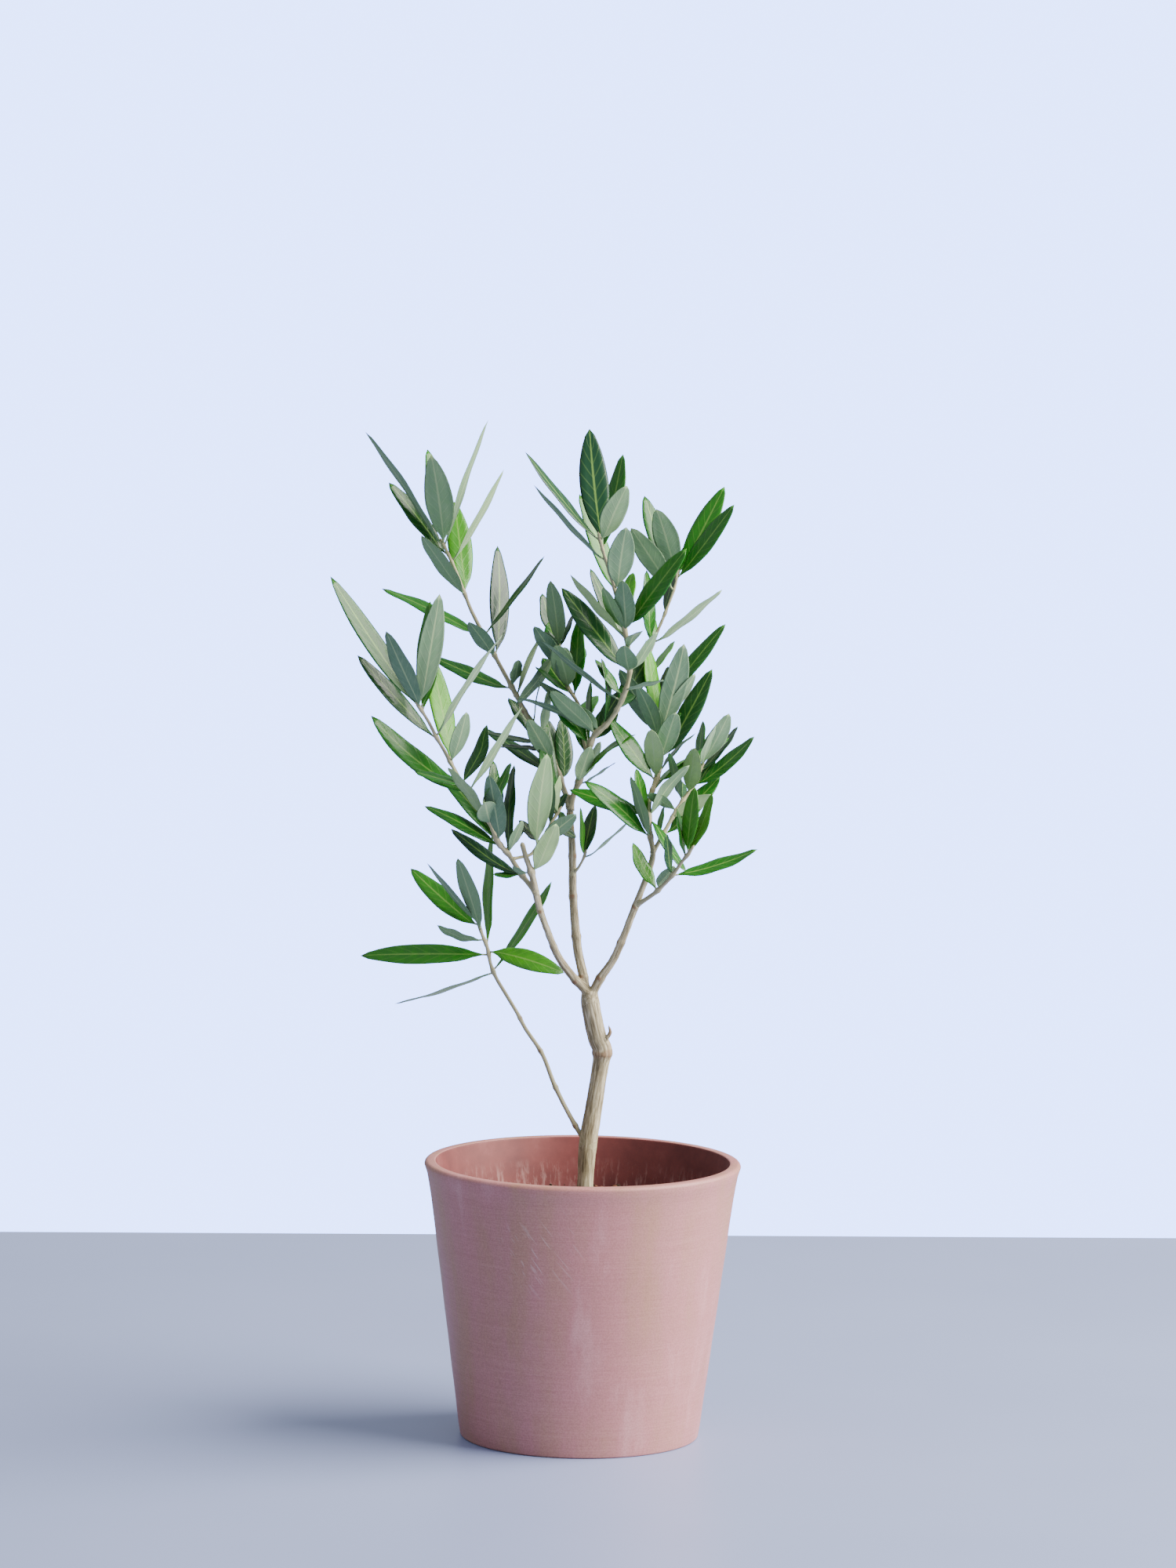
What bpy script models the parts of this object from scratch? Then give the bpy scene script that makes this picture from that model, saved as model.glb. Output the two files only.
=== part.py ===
"""A young olive tree in a plain tapered clay pot.

The pot holds the soil and the soil holds the stump and roots. The trunk forks into three limbs, the limbs
carry shoots, and each leaf set sits on its shoot by a thin collar. X runs to the right, -Y to the front and
Z up, from the centre of the pot's base. Sizes are given in millimetres and turned to metres by MM.
"""

import math

import bmesh
import bpy
from mathutils import Matrix, Vector
from mathutils.bvhtree import BVHTree

MM = 0.001
GAP = 0.3  # between pieces that touch

# Pot
RIM_RADIUS = 90.0
BASE_RADIUS = 68.0
POT_HEIGHT = 158.0
WALL = 6.6
FLOOR = 9.0
LIP_FLARE = 1.3  # how far the top stretch swells past the straight taper
LIP_HEIGHT = 20.0
OUTER_LIP_ROUND = 2.2
INNER_LIP_ROUND = 1.2
FOOT_ROUND = 1.2
POT_SIDES = 40
DRAIN_RADIUS = 6.0
DRAIN_CIRCLE = 31.0
DRAIN_HOLES = 4

# Soil and roots
SOIL_TOP = 131.0
SOIL_CROWN = 1.5  # how much higher the soil stands at the stump
ROOTS = 5
ROOT_REACH = 38.0

# Leaf sets
COLLAR_WALL = 0.7
COLLAR_HALF_HEIGHT = 1.6
TIP_STRETCH = 6.0  # a collar that ends nearer the stem's tip than this closes over it
COLLAR_GAP = 0.45  # inside a collar, a little more than GAP so that its corners clear too
LEAF_UPPER = 0.3  # half thickness above and below the midrib
LEAF_LOWER = 0.5
LEAF_FOLD = 0.16  # how far the margins rise, per half width
PETIOLE_HALF_WIDTH = 0.75
PETIOLE_SHARE = 0.07  # share of the leaf's length
LONG_LEAF = 34.0  # a longer leaf gets one station more

# The routes are read off a front elevation drawn from EYE: x and z are where a point shows on the plane
# through the pot's axis, and y is its true depth, to which it slides along its line of sight.
EYE = (0.0, -4000.0, 850.0)

# name: (sides, stems it is cut clear of, route of (x, y, z, radius) from its base to its tip)
STEMS = {
    "trunk": (12, (), (
        (1.2, 0, 98, 7.4), (1.4, 0, 112, 6.8), (1.6, 0, 128, 5.2), (1.7, 0, 147, 4.6), (2.8, 1, 168, 5.2),
        (5.0, 2, 183, 5.1), (8.5, 3, 207, 4.7), (9.9, 3, 216.5, 5.1), (10.2, 3, 219.5, 6.1),
        (9.8, 3, 223.5, 5.6), (7.3, 2, 229, 5.5), (4.7, 1, 240, 5.4), (2.8, 0, 250, 5.3), (3.0, 0, 256, 4.4),
    )),
    "centre_limb": (8, ("trunk",), (
        (2.6, 0, 250, 2.9), (-0.2, 1, 258, 2.9), (-1.6, 3, 266, 2.8), (-4.0, 6, 276.5, 2.7),
        (-5.4, 8, 286, 2.6), (-7.6, 12, 310, 2.4), (-8.3, 15, 334, 2.2), (-9.6, 17, 353, 2.0),
        (-10.5, 18, 367, 1.8),
    )),
    "left_limb": (8, ("trunk", "centre_limb"), (
        (3.0, 0, 252, 2.4), (-1.4, -1.5, 257.5, 2.4), (-7.4, -3.5, 264, 2.4), (-15.5, -7, 275, 2.2),
        (-21.7, -10, 289.5, 2.0), (-26.6, -12, 303, 1.9), (-29.2, -14, 314, 2.1), (-31.7, -16, 324, 1.8),
        (-34.7, -18, 332, 1.6), (-36.7, -19, 339, 1.5),
    )),
    "right_limb": (8, ("trunk", "centre_limb", "left_limb"), (
        (3.2, 0, 251, 2.6), (6.0, -1, 258, 2.6), (9.2, -2, 264, 2.5), (15.3, -4, 273, 2.3),
        (19.8, -6, 283, 2.2), (24.4, -7, 295, 2.1), (29.0, -8, 308, 2.0), (32.6, -8, 317.5, 1.8),
        (36.4, -8, 329, 1.7), (37.3, -8, 336, 1.7), (35.7, -6, 344, 1.5), (34.6, -3, 355, 1.4),
        (35.4, 1, 367, 1.35), (38.6, 5, 377, 1.3), (40.4, 8, 386, 1.25), (40.2, 12, 401, 1.2),
        (38.3, 19, 427, 1.1), (33.9, 24, 444, 1.0), (35.7, 27, 454.5, 0.95), (42.8, 31, 473, 0.9),
        (47.7, 34, 487.5, 0.85), (48.4, 35, 498, 0.8),
    )),
    "low_shoot": (6, ("trunk",), (
        (3.4, 1, 167, 1.5), (-1.3, 2, 173, 1.4), (-9.4, 4, 187, 1.3), (-16.9, 7, 202, 1.3),
        (-23.8, 10, 219, 1.2), (-33.2, 13, 233, 1.15), (-38.1, 14, 242, 1.1), (-44.2, 16, 252, 1.1),
        (-50.3, 17, 262, 1.05), (-53.7, 18, 270, 1.0), (-55.6, 19, 279, 0.95), (-59.1, 20, 288, 0.9),
        (-61.7, 21, 296, 0.8),
    )),
    "left_arm_shoot": (6, ("left_limb",), (
        (-28.6, -14, 311.5, 1.5), (-31.5, -13, 315, 1.45), (-35.6, -11, 320, 1.4), (-40.4, -10, 327, 1.4),
        (-44.3, -12, 333, 1.35), (-50.4, -16, 340, 1.3), (-56.4, -21, 353.5, 1.25), (-63.4, -25, 364, 1.2),
        (-70.3, -28, 372, 1.15), (-76.4, -31, 382.5, 1.1), (-81.7, -33, 392, 1.0), (-85.9, -34, 399, 0.95),
        (-90.6, -35, 408, 0.9), (-97.0, -36, 418, 0.8),
    )),
    "stub_twig": (6, ("left_arm_shoot",), (
        (-42.6, -11, 330.3, 0.95), (-38.5, -8, 331.3, 0.9), (-31.6, -7, 333.3, 0.9), (-27.0, -5, 339.5, 0.85),
        (-23.4, -3, 346, 0.8), (-18.8, 0, 354, 0.75), (-15.5, 2, 359.5, 0.7),
    )),
    "centre_side_twig": (6, ("centre_limb",), (
        (-8.0, 13.5, 322, 0.85), (-4.8, 11, 326, 0.75), (-2.1, 9, 331, 0.7), (-0.8, 8, 335, 0.6),
    )),
    "top_centre_shoot": (6, ("centre_limb",), (
        (-9.9, 17.4, 359, 1.7), (-8.2, 16, 367, 1.6), (-4.9, 14, 376, 1.55), (-1.0, 11, 389, 1.5),
        (2.9, 8, 401, 1.45), (11.0, 4, 409, 1.4), (18.0, 0, 421, 1.3), (22.6, -5, 438, 1.2),
        (19.7, -11, 461, 1.1), (16.4, -14, 473, 1.0), (13.6, -17, 484, 0.95), (7.1, -22, 504, 0.85),
        (4.1, -25, 515, 0.8),
    )),
    "upper_left_shoot": (6, ("centre_limb", "top_centre_shoot"), (
        (-10.1, 17.6, 361, 1.7), (-13.8, 20, 371, 1.6), (-22.4, 24, 392, 1.5), (-33.7, 28, 410, 1.4),
        (-41.9, 31, 425, 1.3), (-50.9, 33, 441, 1.2), (-65.5, 36, 468, 1.1), (-70.3, 37, 479, 1.0),
        (-77.0, 38, 495.5, 0.9), (-84.6, 39, 511, 0.8),
    )),
    "middle_twig": (6, ("top_centre_shoot",), (
        (-1.0, 11, 389, 1.0), (-3.4, 14, 401, 0.95), (-5.9, 18, 418, 0.9), (-12.2, 22, 429, 0.85),
        (-16.0, 25, 441, 0.8), (-17.9, 27, 455, 0.7),
    )),
    "right_outer_twig": (6, ("right_limb",), (
        (36.9, -8, 334.5, 1.2), (42.0, -5, 344, 1.15), (50.4, 2, 360, 1.05), (55.1, 6, 367, 1.0),
        (59.8, 10, 374, 0.9), (62.6, 13, 381, 0.8), (65.0, 15, 387, 0.7),
    )),
    "right_low_twig": (6, ("right_limb",), (
        (28.4, -8, 305.0, 1.3), (32.2, -11, 307.5, 1.25), (38.5, -17, 312, 1.2), (44.2, -22, 317.5, 1.1),
        (49.0, -26, 323, 1.05), (53.6, -30, 330, 0.95), (57.5, -33, 335, 0.85), (60.0, -35, 339, 0.8),
    )),
}

# Each leaf is (height on its stem, lean from upright with + to the right, span seen from the front, width,
# side shown to the front: 90 is the whole upper side, -90 the whole underside and 0 the edge,
# then, where it isn't the usual one, its tilt towards the front, and its bend, + towards its upper side).
LEAF_SETS = {
    "low_shoot_leaves_1": ("low_shoot", (
        (266, -109, 58, 11, -18, 0, 14), (267, 33, 57, 11, 23, -20, 6),
    )),
    "low_shoot_leaves_2": ("low_shoot", (
        (276, -93, 72, 12, 52, -12, -12), (277, 104, 43, 11.5, 58, 14, -34),
    )),
    "low_shoot_tip_leaves": ("low_shoot", (
        (284, -69, 27, 9, -35, 14, 34), (282, 1, 60, 12, 30), (290, -17, 45, 11.5, -52),
        (292, -52, 49, 12.5, 52), (295, -39, 44, 11, -24, 10),
    )),
    "left_limb_leaves": ("left_limb", (
        (323, 21, 31, 12.5, -62, 22), (323, -62, 9, 5, -40, 10, 40),
    )),
    "left_arm_leaves_1": ("left_arm_shoot", (
        (321, -57, 47, 11, 30), (322, -87, 14, 6, 30),
    )),
    "left_arm_leaves_2": ("left_arm_shoot", (
        (334.5, 3, 47, 11, 35, -10), (334.5, 21, 19, 8, -40), (335, 34, 15, 7, 40, -30),
    )),
    "left_arm_leaves_3": ("left_arm_shoot", (
        (339, -42, 51, 12, 40, -22, -20), (338, -63, 47, 11.5, 30, -8, -14), (341, -9, 41, 11.5, -64),
        (342, -5, 42, 11, 40, -14),
    )),
    "left_arm_leaves_4": ("left_arm_shoot", ((354, -34, 38, 10.5, -35), (355, 24, 30, 9, 34))),
    "left_arm_leaves_5": ("left_arm_shoot", (
        (367, -53, 70, 12.5, 48, -12, 30), (368, 30, 55, 11.5, -26), (366, 9, 39, 11, 48),
    )),
    "left_arm_leaves_6": ("left_arm_shoot", ((385, -14, 61, 13, 58), (386, 15, 30, 10.5, -56))),
    "left_arm_tip_leaves": ("left_arm_shoot", (
        (399, -44, 63, 12, 35, -8, 8), (400, 31, 69, 12, -20), (416, -35, 88, 13, 46, -6, 8),
        (416, -24, 48, 12, -58, 18), (417, 9, 64, 13, -76), (415, 3, 59, 12.5, 56), (414, 11, 42, 11, 40, -30),
    )),
    "stub_twig_leaves": ("stub_twig", (
        (338, 6, 54, 14, -66, 18), (336, 51, 24, 9, 35), (340, -43, 16, 8, 35),
    )),
    "stub_twig_tip_leaves": ("stub_twig", (
        (356, -6, 49, 12, 52), (357, 4, 22, 7, -30), (355, 28, 14, 6, 40), (352, 123, 15, 7, 40),
        (358, 165, 15, 7, 46),
    )),
    "centre_side_twig_leaves": ("centre_side_twig", (
        (333, -3, 27, 8, 22), (333, 12, 27, 9, 52), (332, 46, 33, 8, -15),
    )),
    "upper_left_leaves_1": ("upper_left_shoot", (
        (380, -60, 47, 11, 30), (377, -16, 33, 11, 52, -10), (375, -4, 34, 11, 60, -24),
    )),
    "upper_left_leaves_2": ("upper_left_shoot", (
        (398, -79, 32, 9, 14), (399, -39, 29, 10, 38), (394, -86, 25, 8, 14, 14),
    )),
    "upper_left_leaves_3": ("upper_left_shoot", ((428, -69, 47, 11.5, 32, -14, 12), (429, 10, 15, 8, -46))),
    "upper_left_leaves_4": ("upper_left_shoot", ((446, -1, 59, 12.5, 58), (446, -35, 25, 10.5, -60))),
    "upper_left_leaves_5": ("upper_left_shoot", ((458, 37, 54, 11, 12), (458, -66, 62, 12, 26, -10, -8))),
    "upper_left_tip_leaves": ("upper_left_shoot", (
        (481, -9, 50, 13, 72), (480, -34, 43, 12, -44), (499, 28, 59, 11.5, -20), (503, -39, 52, 11.5, 42),
        (508, -34, 78, 11, -20, 0, -8), (509, -12, 53, 12, 56), (509, -8, 52, 15, -80, 26),
        (508, 18, 75, 11, -20, 4, -6),
    )),
    "top_centre_leaves_1": ("top_centre_shoot", (
        (375, 17, 23, 9.5, -58), (376, 26, 24, 9.5, -38, 4), (374, 55, 23, 8, -15),
    )),
    "top_centre_leaves_2": ("top_centre_shoot", ((396, -37, 36, 11.5, 50, -14), (396.5, 1, 34, 10, 18))),
    "top_centre_leaves_3": ("top_centre_shoot", (
        (403, -46, 35, 11.5, -60), (402, -65, 47, 10.5, -28, 20, -34), (404, 30, 25, 10, 50),
        (404.5, -39, 17, 8, -60),
    )),
    "top_centre_leaves_4": ("top_centre_shoot", ((421, -51, 56, 11, -20, 16), (424, -36, 24, 9, 33, -8))),
    "top_centre_leaves_5": ("top_centre_shoot", ((438, -39, 59, 13, 56, -6), (439, 30, 26, 9, -40))),
    "top_centre_leaves_6": ("top_centre_shoot", (
        (456, -27, 43, 11, 38), (461.4, -5, 30, 11.5, -70), (459.6, -22, 29, 10, -42, 12),
        (459, -41, 45, 11, -28, 6), (463, 35, 56, 13, 52, 16, -8),
    )),
    "top_centre_tip_leaves": ("top_centre_shoot", (
        (482, -21, 58, 12.5, 48), (485, 7, 36, 14, -76, 26), (501, -42, 58, 11, -18), (507, 11, 52, 12, 46),
        (511, -7, 62, 15, 80, -14), (512, 22, 34, 13, -70, 22), (512, -40, 64, 11.5, 20),
    )),
    "middle_twig_leaves": ("middle_twig", (
        (424, 2, 44, 12, 48, -6), (428, -16, 27, 12.5, -72), (427, -40, 23, 10, 62), (426, -52, 24, 8, 12),
    )),
    "middle_twig_tip_leaves": ("middle_twig", (
        (451, -8, 39, 11.5, -52), (449, -17, 17, 9, 66), (452, -18, 30, 10.5, 46), (450, -148, 38, 10, -36, 16, 20),
        (452, 22, 21, 8, 20), (448, -32, 15, 8, -52),
    )),
    "right_limb_leaves_1": ("right_limb", ((345, -49, 47, 12, 44, 6, -36), (344, -17, 37, 10.5, -36, 14))),
    "right_limb_leaves_2": ("right_limb", (
        (357, -74, 45, 11, 46, -10), (355, -12, 28, 9.5, 38), (354, 145, 33, 9.5, 30, 20, 16),
    )),
    "right_limb_leaves_3": ("right_limb", (
        (378, -6, 29, 11, -64), (379, -6, 19, 8, 34), (377, -37, 41, 12, 50), (376, 59, 46, 11, 26),
    )),
    "right_limb_leaves_4": ("right_limb", ((388, 15, 30, 12, -66), (389, 28, 57, 12.5, 54, -8))),
    "right_limb_leaves_5": ("right_limb", (
        (404, 13, 53, 13.5, -74, 18), (404, -31, 42, 12, -62), (409, -9, 47, 11.5, 44, -4), (409, 18, 37, 10.5, 28),
        (405, 46, 14, 7, 30),
    )),
    "right_limb_leaves_6": ("right_limb", ((419, 38, 58, 12, 34), (421, 10, 20, 8, 38))),
    "right_limb_leaves_7": ("right_limb", ((455, 50, 48, 11, -28), (455, -4, 40, 11, 42))),
    "right_limb_tip_leaves": ("right_limb", (
        (471, 17, 39, 10.5, 30), (485, -34, 42, 13, -64, 14), (492, 36, 52, 12, 44, 4), (494, 27, 55, 13, 64, -12),
        (495, -17, 38, 13.5, -74, 22), (494, -2, 28, 9, 30), (493, -22, 46, 12.5, 54),
    )),
    "right_outer_leaves_1": ("right_outer_twig", ((346, 43, 44, 12, 40, -14), (345, 10, 15, 6, 30))),
    "right_outer_leaves_2": ("right_outer_twig", ((359, -58, 18, 8, -50, 20, -30), (365, -15, 28, 9, -34))),
    "right_outer_tip_leaves": ("right_outer_twig", (
        (374, 49, 43, 11.5, 36, -4, 16), (376, 36, 16, 8, 34, -14), (384, 24, 36, 12, -58), (383, 5, 25, 9, 34),
        (384, 11, 28, 9, -30, 8), (383, 40, 31, 10, 24),
    )),
    "right_low_leaves_1": ("right_low_twig", ((314, 36, 16, 8.5, -56), (314, -29, 28, 10, 44, -14, 40))),
    "right_low_leaves_2": ("right_low_twig", ((323, 72, 48, 11, 30, -4, 26), (323, -7, 23, 9, 32))),
    "right_low_tip_leaves": ("right_low_twig", (
        (335, 6, 36, 11, 48, -6), (334, 22, 37, 11, 34, 4, 24), (333, -10, 26, 9, 24),
    )),
}


def clear_scene():
    for thing in list(bpy.data.objects):
        bpy.data.objects.remove(thing, do_unlink=True)


def material(name, colour, roughness):
    made = bpy.data.materials.new(name)
    made.use_nodes = True
    shader = made.node_tree.nodes["Principled BSDF"]
    shader.inputs["Base Color"].default_value = (*colour, 1)
    shader.inputs["Roughness"].default_value = roughness
    shader.inputs["Metallic"].default_value = 0
    return made


def object_from(bm, name, finish=None):
    """The bmesh as an object, its faces pointing out and shaded smooth over gentle edges."""
    bmesh.ops.recalc_face_normals(bm, faces=bm.faces)
    mesh = bpy.data.meshes.new(name)
    bm.to_mesh(mesh)
    bm.free()
    mesh.shade_smooth()
    mesh.set_sharp_from_angle(angle=math.radians(40))
    made = bpy.data.objects.new(name, mesh)
    bpy.context.collection.objects.link(made)
    if finish:
        mesh.materials.append(finish)
    return made


def hide_cutter(thing):
    thing.hide_render = True
    thing.display_type = "WIRE"


def boolean(target, operand, operation, crossing_shells=False):
    step = target.modifiers.new(f"{operation.lower()} {operand.name}", "BOOLEAN")
    step.operation = operation
    step.solver = "EXACT"
    step.object = operand
    step.use_self = crossing_shells
    hide_cutter(operand)


# Turned pieces


def arc(centre, radius, start, end, steps):
    """Points of a round corner in the profile's plane; angles in degrees from +X."""
    points = []
    for step in range(steps + 1):
        angle = math.radians(start + (end - start) * step / steps)
        points.append((centre[0] + radius * math.cos(angle), centre[1] + radius * math.sin(angle)))
    return points


def outer_radius(height):
    """The pot's outside: a straight taper that swells a little into the lip."""
    straight = BASE_RADIUS + (RIM_RADIUS - LIP_FLARE - BASE_RADIUS) * height / POT_HEIGHT
    into_lip = max(0.0, (height - POT_HEIGHT + LIP_HEIGHT) / LIP_HEIGHT)
    return straight + LIP_FLARE * into_lip**1.5


def turned(profile, name, finish, sides=POT_SIDES):
    """A profile of (radius, height) points whose ends lie on the axis, spun round it."""
    bm = bmesh.new()
    verts = [bm.verts.new((radius * MM, 0, height * MM)) for radius, height in profile]
    edges = [bm.edges.new(pair) for pair in zip(verts, verts[1:])]
    bmesh.ops.spin(
        bm, geom=verts + edges, cent=(0, 0, 0), axis=(0, 0, 1), angle=math.tau, steps=sides, use_merge=True
    )
    bmesh.ops.remove_doubles(bm, verts=bm.verts, dist=0.001 * MM)
    return object_from(bm, name, finish)


def make_pot(finish):
    profile = [(0, 0)]
    profile += arc((BASE_RADIUS - FOOT_ROUND, FOOT_ROUND), FOOT_ROUND, -90, 0, 1)
    for height in (POT_HEIGHT - LIP_HEIGHT, POT_HEIGHT - LIP_HEIGHT / 2):
        profile.append((outer_radius(height), height))
    outer_centre = (RIM_RADIUS - OUTER_LIP_ROUND, POT_HEIGHT - OUTER_LIP_ROUND)
    profile += arc(outer_centre, OUTER_LIP_ROUND, 0, 90, 2)
    inner_centre = (RIM_RADIUS - WALL + INNER_LIP_ROUND, POT_HEIGHT - INNER_LIP_ROUND)
    profile += arc(inner_centre, INNER_LIP_ROUND, 90, 180, 1)
    for height in (POT_HEIGHT - LIP_HEIGHT / 2, POT_HEIGHT - LIP_HEIGHT):
        profile.append((outer_radius(height) - WALL, height))
    profile += [(outer_radius(FLOOR) - WALL, FLOOR), (0, FLOOR)]
    pot = turned(profile, "pot", finish)
    bm = bmesh.new()
    for hole in range(DRAIN_HOLES):
        turn = math.tau * (hole + 0.37) / DRAIN_HOLES
        place = Vector((DRAIN_CIRCLE * math.cos(turn), DRAIN_CIRCLE * math.sin(turn), 0))
        bmesh.ops.create_cone(
            bm, cap_ends=True, segments=12, radius1=DRAIN_RADIUS * MM, radius2=DRAIN_RADIUS * MM,
            depth=4 * FLOOR * MM, matrix=Matrix.Translation(place * MM),
        )
    boolean(pot, object_from(bm, "drain_cutter"), "DIFFERENCE")
    return pot


def make_soil(finish, cavities):
    """Fills the pot to its top, GAP clear of the clay, with hollows where the stump and roots are."""
    bottom = FLOOR + GAP
    profile = [(0, bottom)]
    for height in (bottom, SOIL_TOP - 2):
        profile.append((outer_radius(height) - WALL - 2 * GAP, height))
    edge = outer_radius(SOIL_TOP) - WALL - 2 * GAP
    profile += [(edge - 3, SOIL_TOP - 0.6), (edge * 0.5, SOIL_TOP), (12, SOIL_TOP + SOIL_CROWN)]
    profile.append((0, SOIL_TOP + SOIL_CROWN))
    soil = turned(profile, "soil", finish)
    for cavity in cavities:
        boolean(soil, cavity, "DIFFERENCE")
    return soil


# Stems


def smooth_route(points, steps):
    """Points on a curve through all the given ones (Catmull-Rom), each a Vector of x, y, z and radius."""
    knots = [Vector(point) for point in points]
    knots = [2 * knots[0] - knots[1]] + knots + [2 * knots[-1] - knots[-2]]
    curve = []
    for a, b, c, d in zip(knots, knots[1:], knots[2:], knots[3:]):
        for step in range(steps):
            t = step / steps
            curve.append(
                0.5 * (2 * b + (c - a) * t + (2 * a - 5 * b + 4 * c - d) * t**2 + (3 * b - a - 3 * c + d) * t**3)
            )
    curve.append(knots[-2])
    return curve


def slid_to_depth(point):
    """The true place of an elevation point, on its line of sight from EYE."""
    eye = Vector(EYE)
    on_plane = Vector((point.x, 0, point.z))
    return eye + (on_plane - eye) * (point.y - eye.y) / -eye.y


class Stem:
    """A route with its thickness, and the square frame that is carried along it."""

    def __init__(self, sides, points, steps=1):
        curve = smooth_route(points, steps)
        self.sides = sides
        self.drawn_heights = [point.z for point in curve]
        self.centres = [slid_to_depth(point.to_3d()) for point in curve]
        self.radii = [point[3] for point in curve]
        self.distances = [0.0]
        for here, following in zip(self.centres, self.centres[1:]):
            self.distances.append(self.distances[-1] + (following - here).length)
        self.tangents = []
        for i in range(len(curve)):
            ahead = self.centres[min(i + 1, len(curve) - 1)]
            behind = self.centres[max(i - 1, 0)]
            self.tangents.append((ahead - behind).normalized())
        side = Vector((0, 1, 0))
        self.sideways = []
        for tangent in self.tangents:
            side = (side - side.dot(tangent) * tangent).normalized()
            self.sideways.append(side.copy())

    def distance_at(self, height):
        """How far along the stem it first reaches this height of the elevation."""
        for i, (low, high) in enumerate(zip(self.drawn_heights, self.drawn_heights[1:])):
            if low <= height <= high:
                share = (height - low) / (high - low)
                return self.distances[i] + share * (self.distances[i + 1] - self.distances[i])
        return self.distances[-1] if height > self.drawn_heights[-1] else 0.0

    def station(self, distance):
        """Centre, tangent, side direction and radius at this distance along the stem."""
        last = len(self.distances) - 2
        i = max(k for k in range(last + 1) if k == 0 or self.distances[k] <= distance)
        share = (distance - self.distances[i]) / (self.distances[i + 1] - self.distances[i])
        share = min(1.0, max(0.0, share))
        tangent = self.tangents[i].lerp(self.tangents[i + 1], share).normalized()
        side = self.sideways[i].lerp(self.sideways[i + 1], share)
        side = (side - side.dot(tangent) * tangent).normalized()
        radius = self.radii[i] * (1 - share) + self.radii[i + 1] * share
        return self.centres[i].lerp(self.centres[i + 1], share), tangent, side, radius

    def stations(self):
        return list(zip(self.centres, self.tangents, self.sideways, self.radii))


def ring(bm, station, sides, grow):
    """One round loop of edges square to the stem."""
    centre, tangent, side, radius = station
    across = tangent.cross(side)
    turn = Matrix((side, across, tangent)).transposed().to_4x4()
    place = Matrix.Translation(centre * MM) @ turn
    made = bmesh.ops.create_circle(bm, cap_ends=False, segments=sides, radius=(radius + grow) * MM, matrix=place)
    return made["verts"]


def skin(bm, first, second):
    """Quads from one ring to the next."""
    count = len(first)
    for i in range(count):
        j = (i + 1) % count
        bm.faces.new((first[i], first[j], second[j], second[i]))


def add_tube(bm, stations, sides, grow=0.0):
    rings = [ring(bm, station, sides, grow) for station in stations]
    for first, second in zip(rings, rings[1:]):
        skin(bm, first, second)
    bm.faces.new(rings[0])
    bm.faces.new(rings[-1])


def make_tube(stem, name, finish=None, grow=0.0):
    bm = bmesh.new()
    add_tube(bm, stem.stations(), stem.sides, grow)
    return object_from(bm, name, finish)


def root_routes():
    """Tapered roots that leave the stump evenly, each a little longer or shorter than the last."""
    for root in range(ROOTS):
        turn = math.tau * (root + 0.2) / ROOTS
        reach = ROOT_REACH * (1 + 0.15 * math.sin(2.3 * root))
        route = []
        for share, height, radius in ((0, 112, 3.0), (0.3, 108, 2.5), (0.65, 99, 1.7), (1, 84, 0.8)):
            x = 1.4 + reach * share * math.cos(turn)
            y = reach * share * math.sin(turn + 0.5 * share)
            route.append((x, y, height, radius))
        yield route


def add_stump_parts(trunk, grow):
    """Roots below, and the small hooked dead stub at the knee, joined to the trunk or to its cutter."""
    hook = ((8.5, 0, 224, 1.4), (12.4, -1, 228.5, 1.2), (14.6, -1.5, 232, 1.0), (13.8, -1.5, 235, 0.6))
    routes = [(8, route) for route in root_routes()] + [(8, hook)]
    for number, (sides, route) in enumerate(routes):
        part = make_tube(Stem(sides, route), f"{trunk.name}_part_{number + 1}", grow=grow)
        boolean(trunk, part, "UNION")


def make_stems(bark):
    """All stems, each cut to a saddle where it sits on the one that carries it."""
    stems = {name: Stem(sides, points) for name, (sides, _, points) in STEMS.items()}
    swollen = {name: make_tube(stem, f"{name}_cutter", grow=GAP) for name, stem in stems.items()}
    for name, (_, carriers, _) in STEMS.items():
        made = make_tube(stems[name], name, bark)
        if name == "trunk":
            add_stump_parts(made, 0.0)
            add_stump_parts(swollen[name], GAP)
        for carrier in carriers:
            boolean(made, swollen[carrier], "DIFFERENCE")
    for cutter in swollen.values():
        hide_cutter(cutter)
    return stems, swollen


# Leaves


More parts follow.
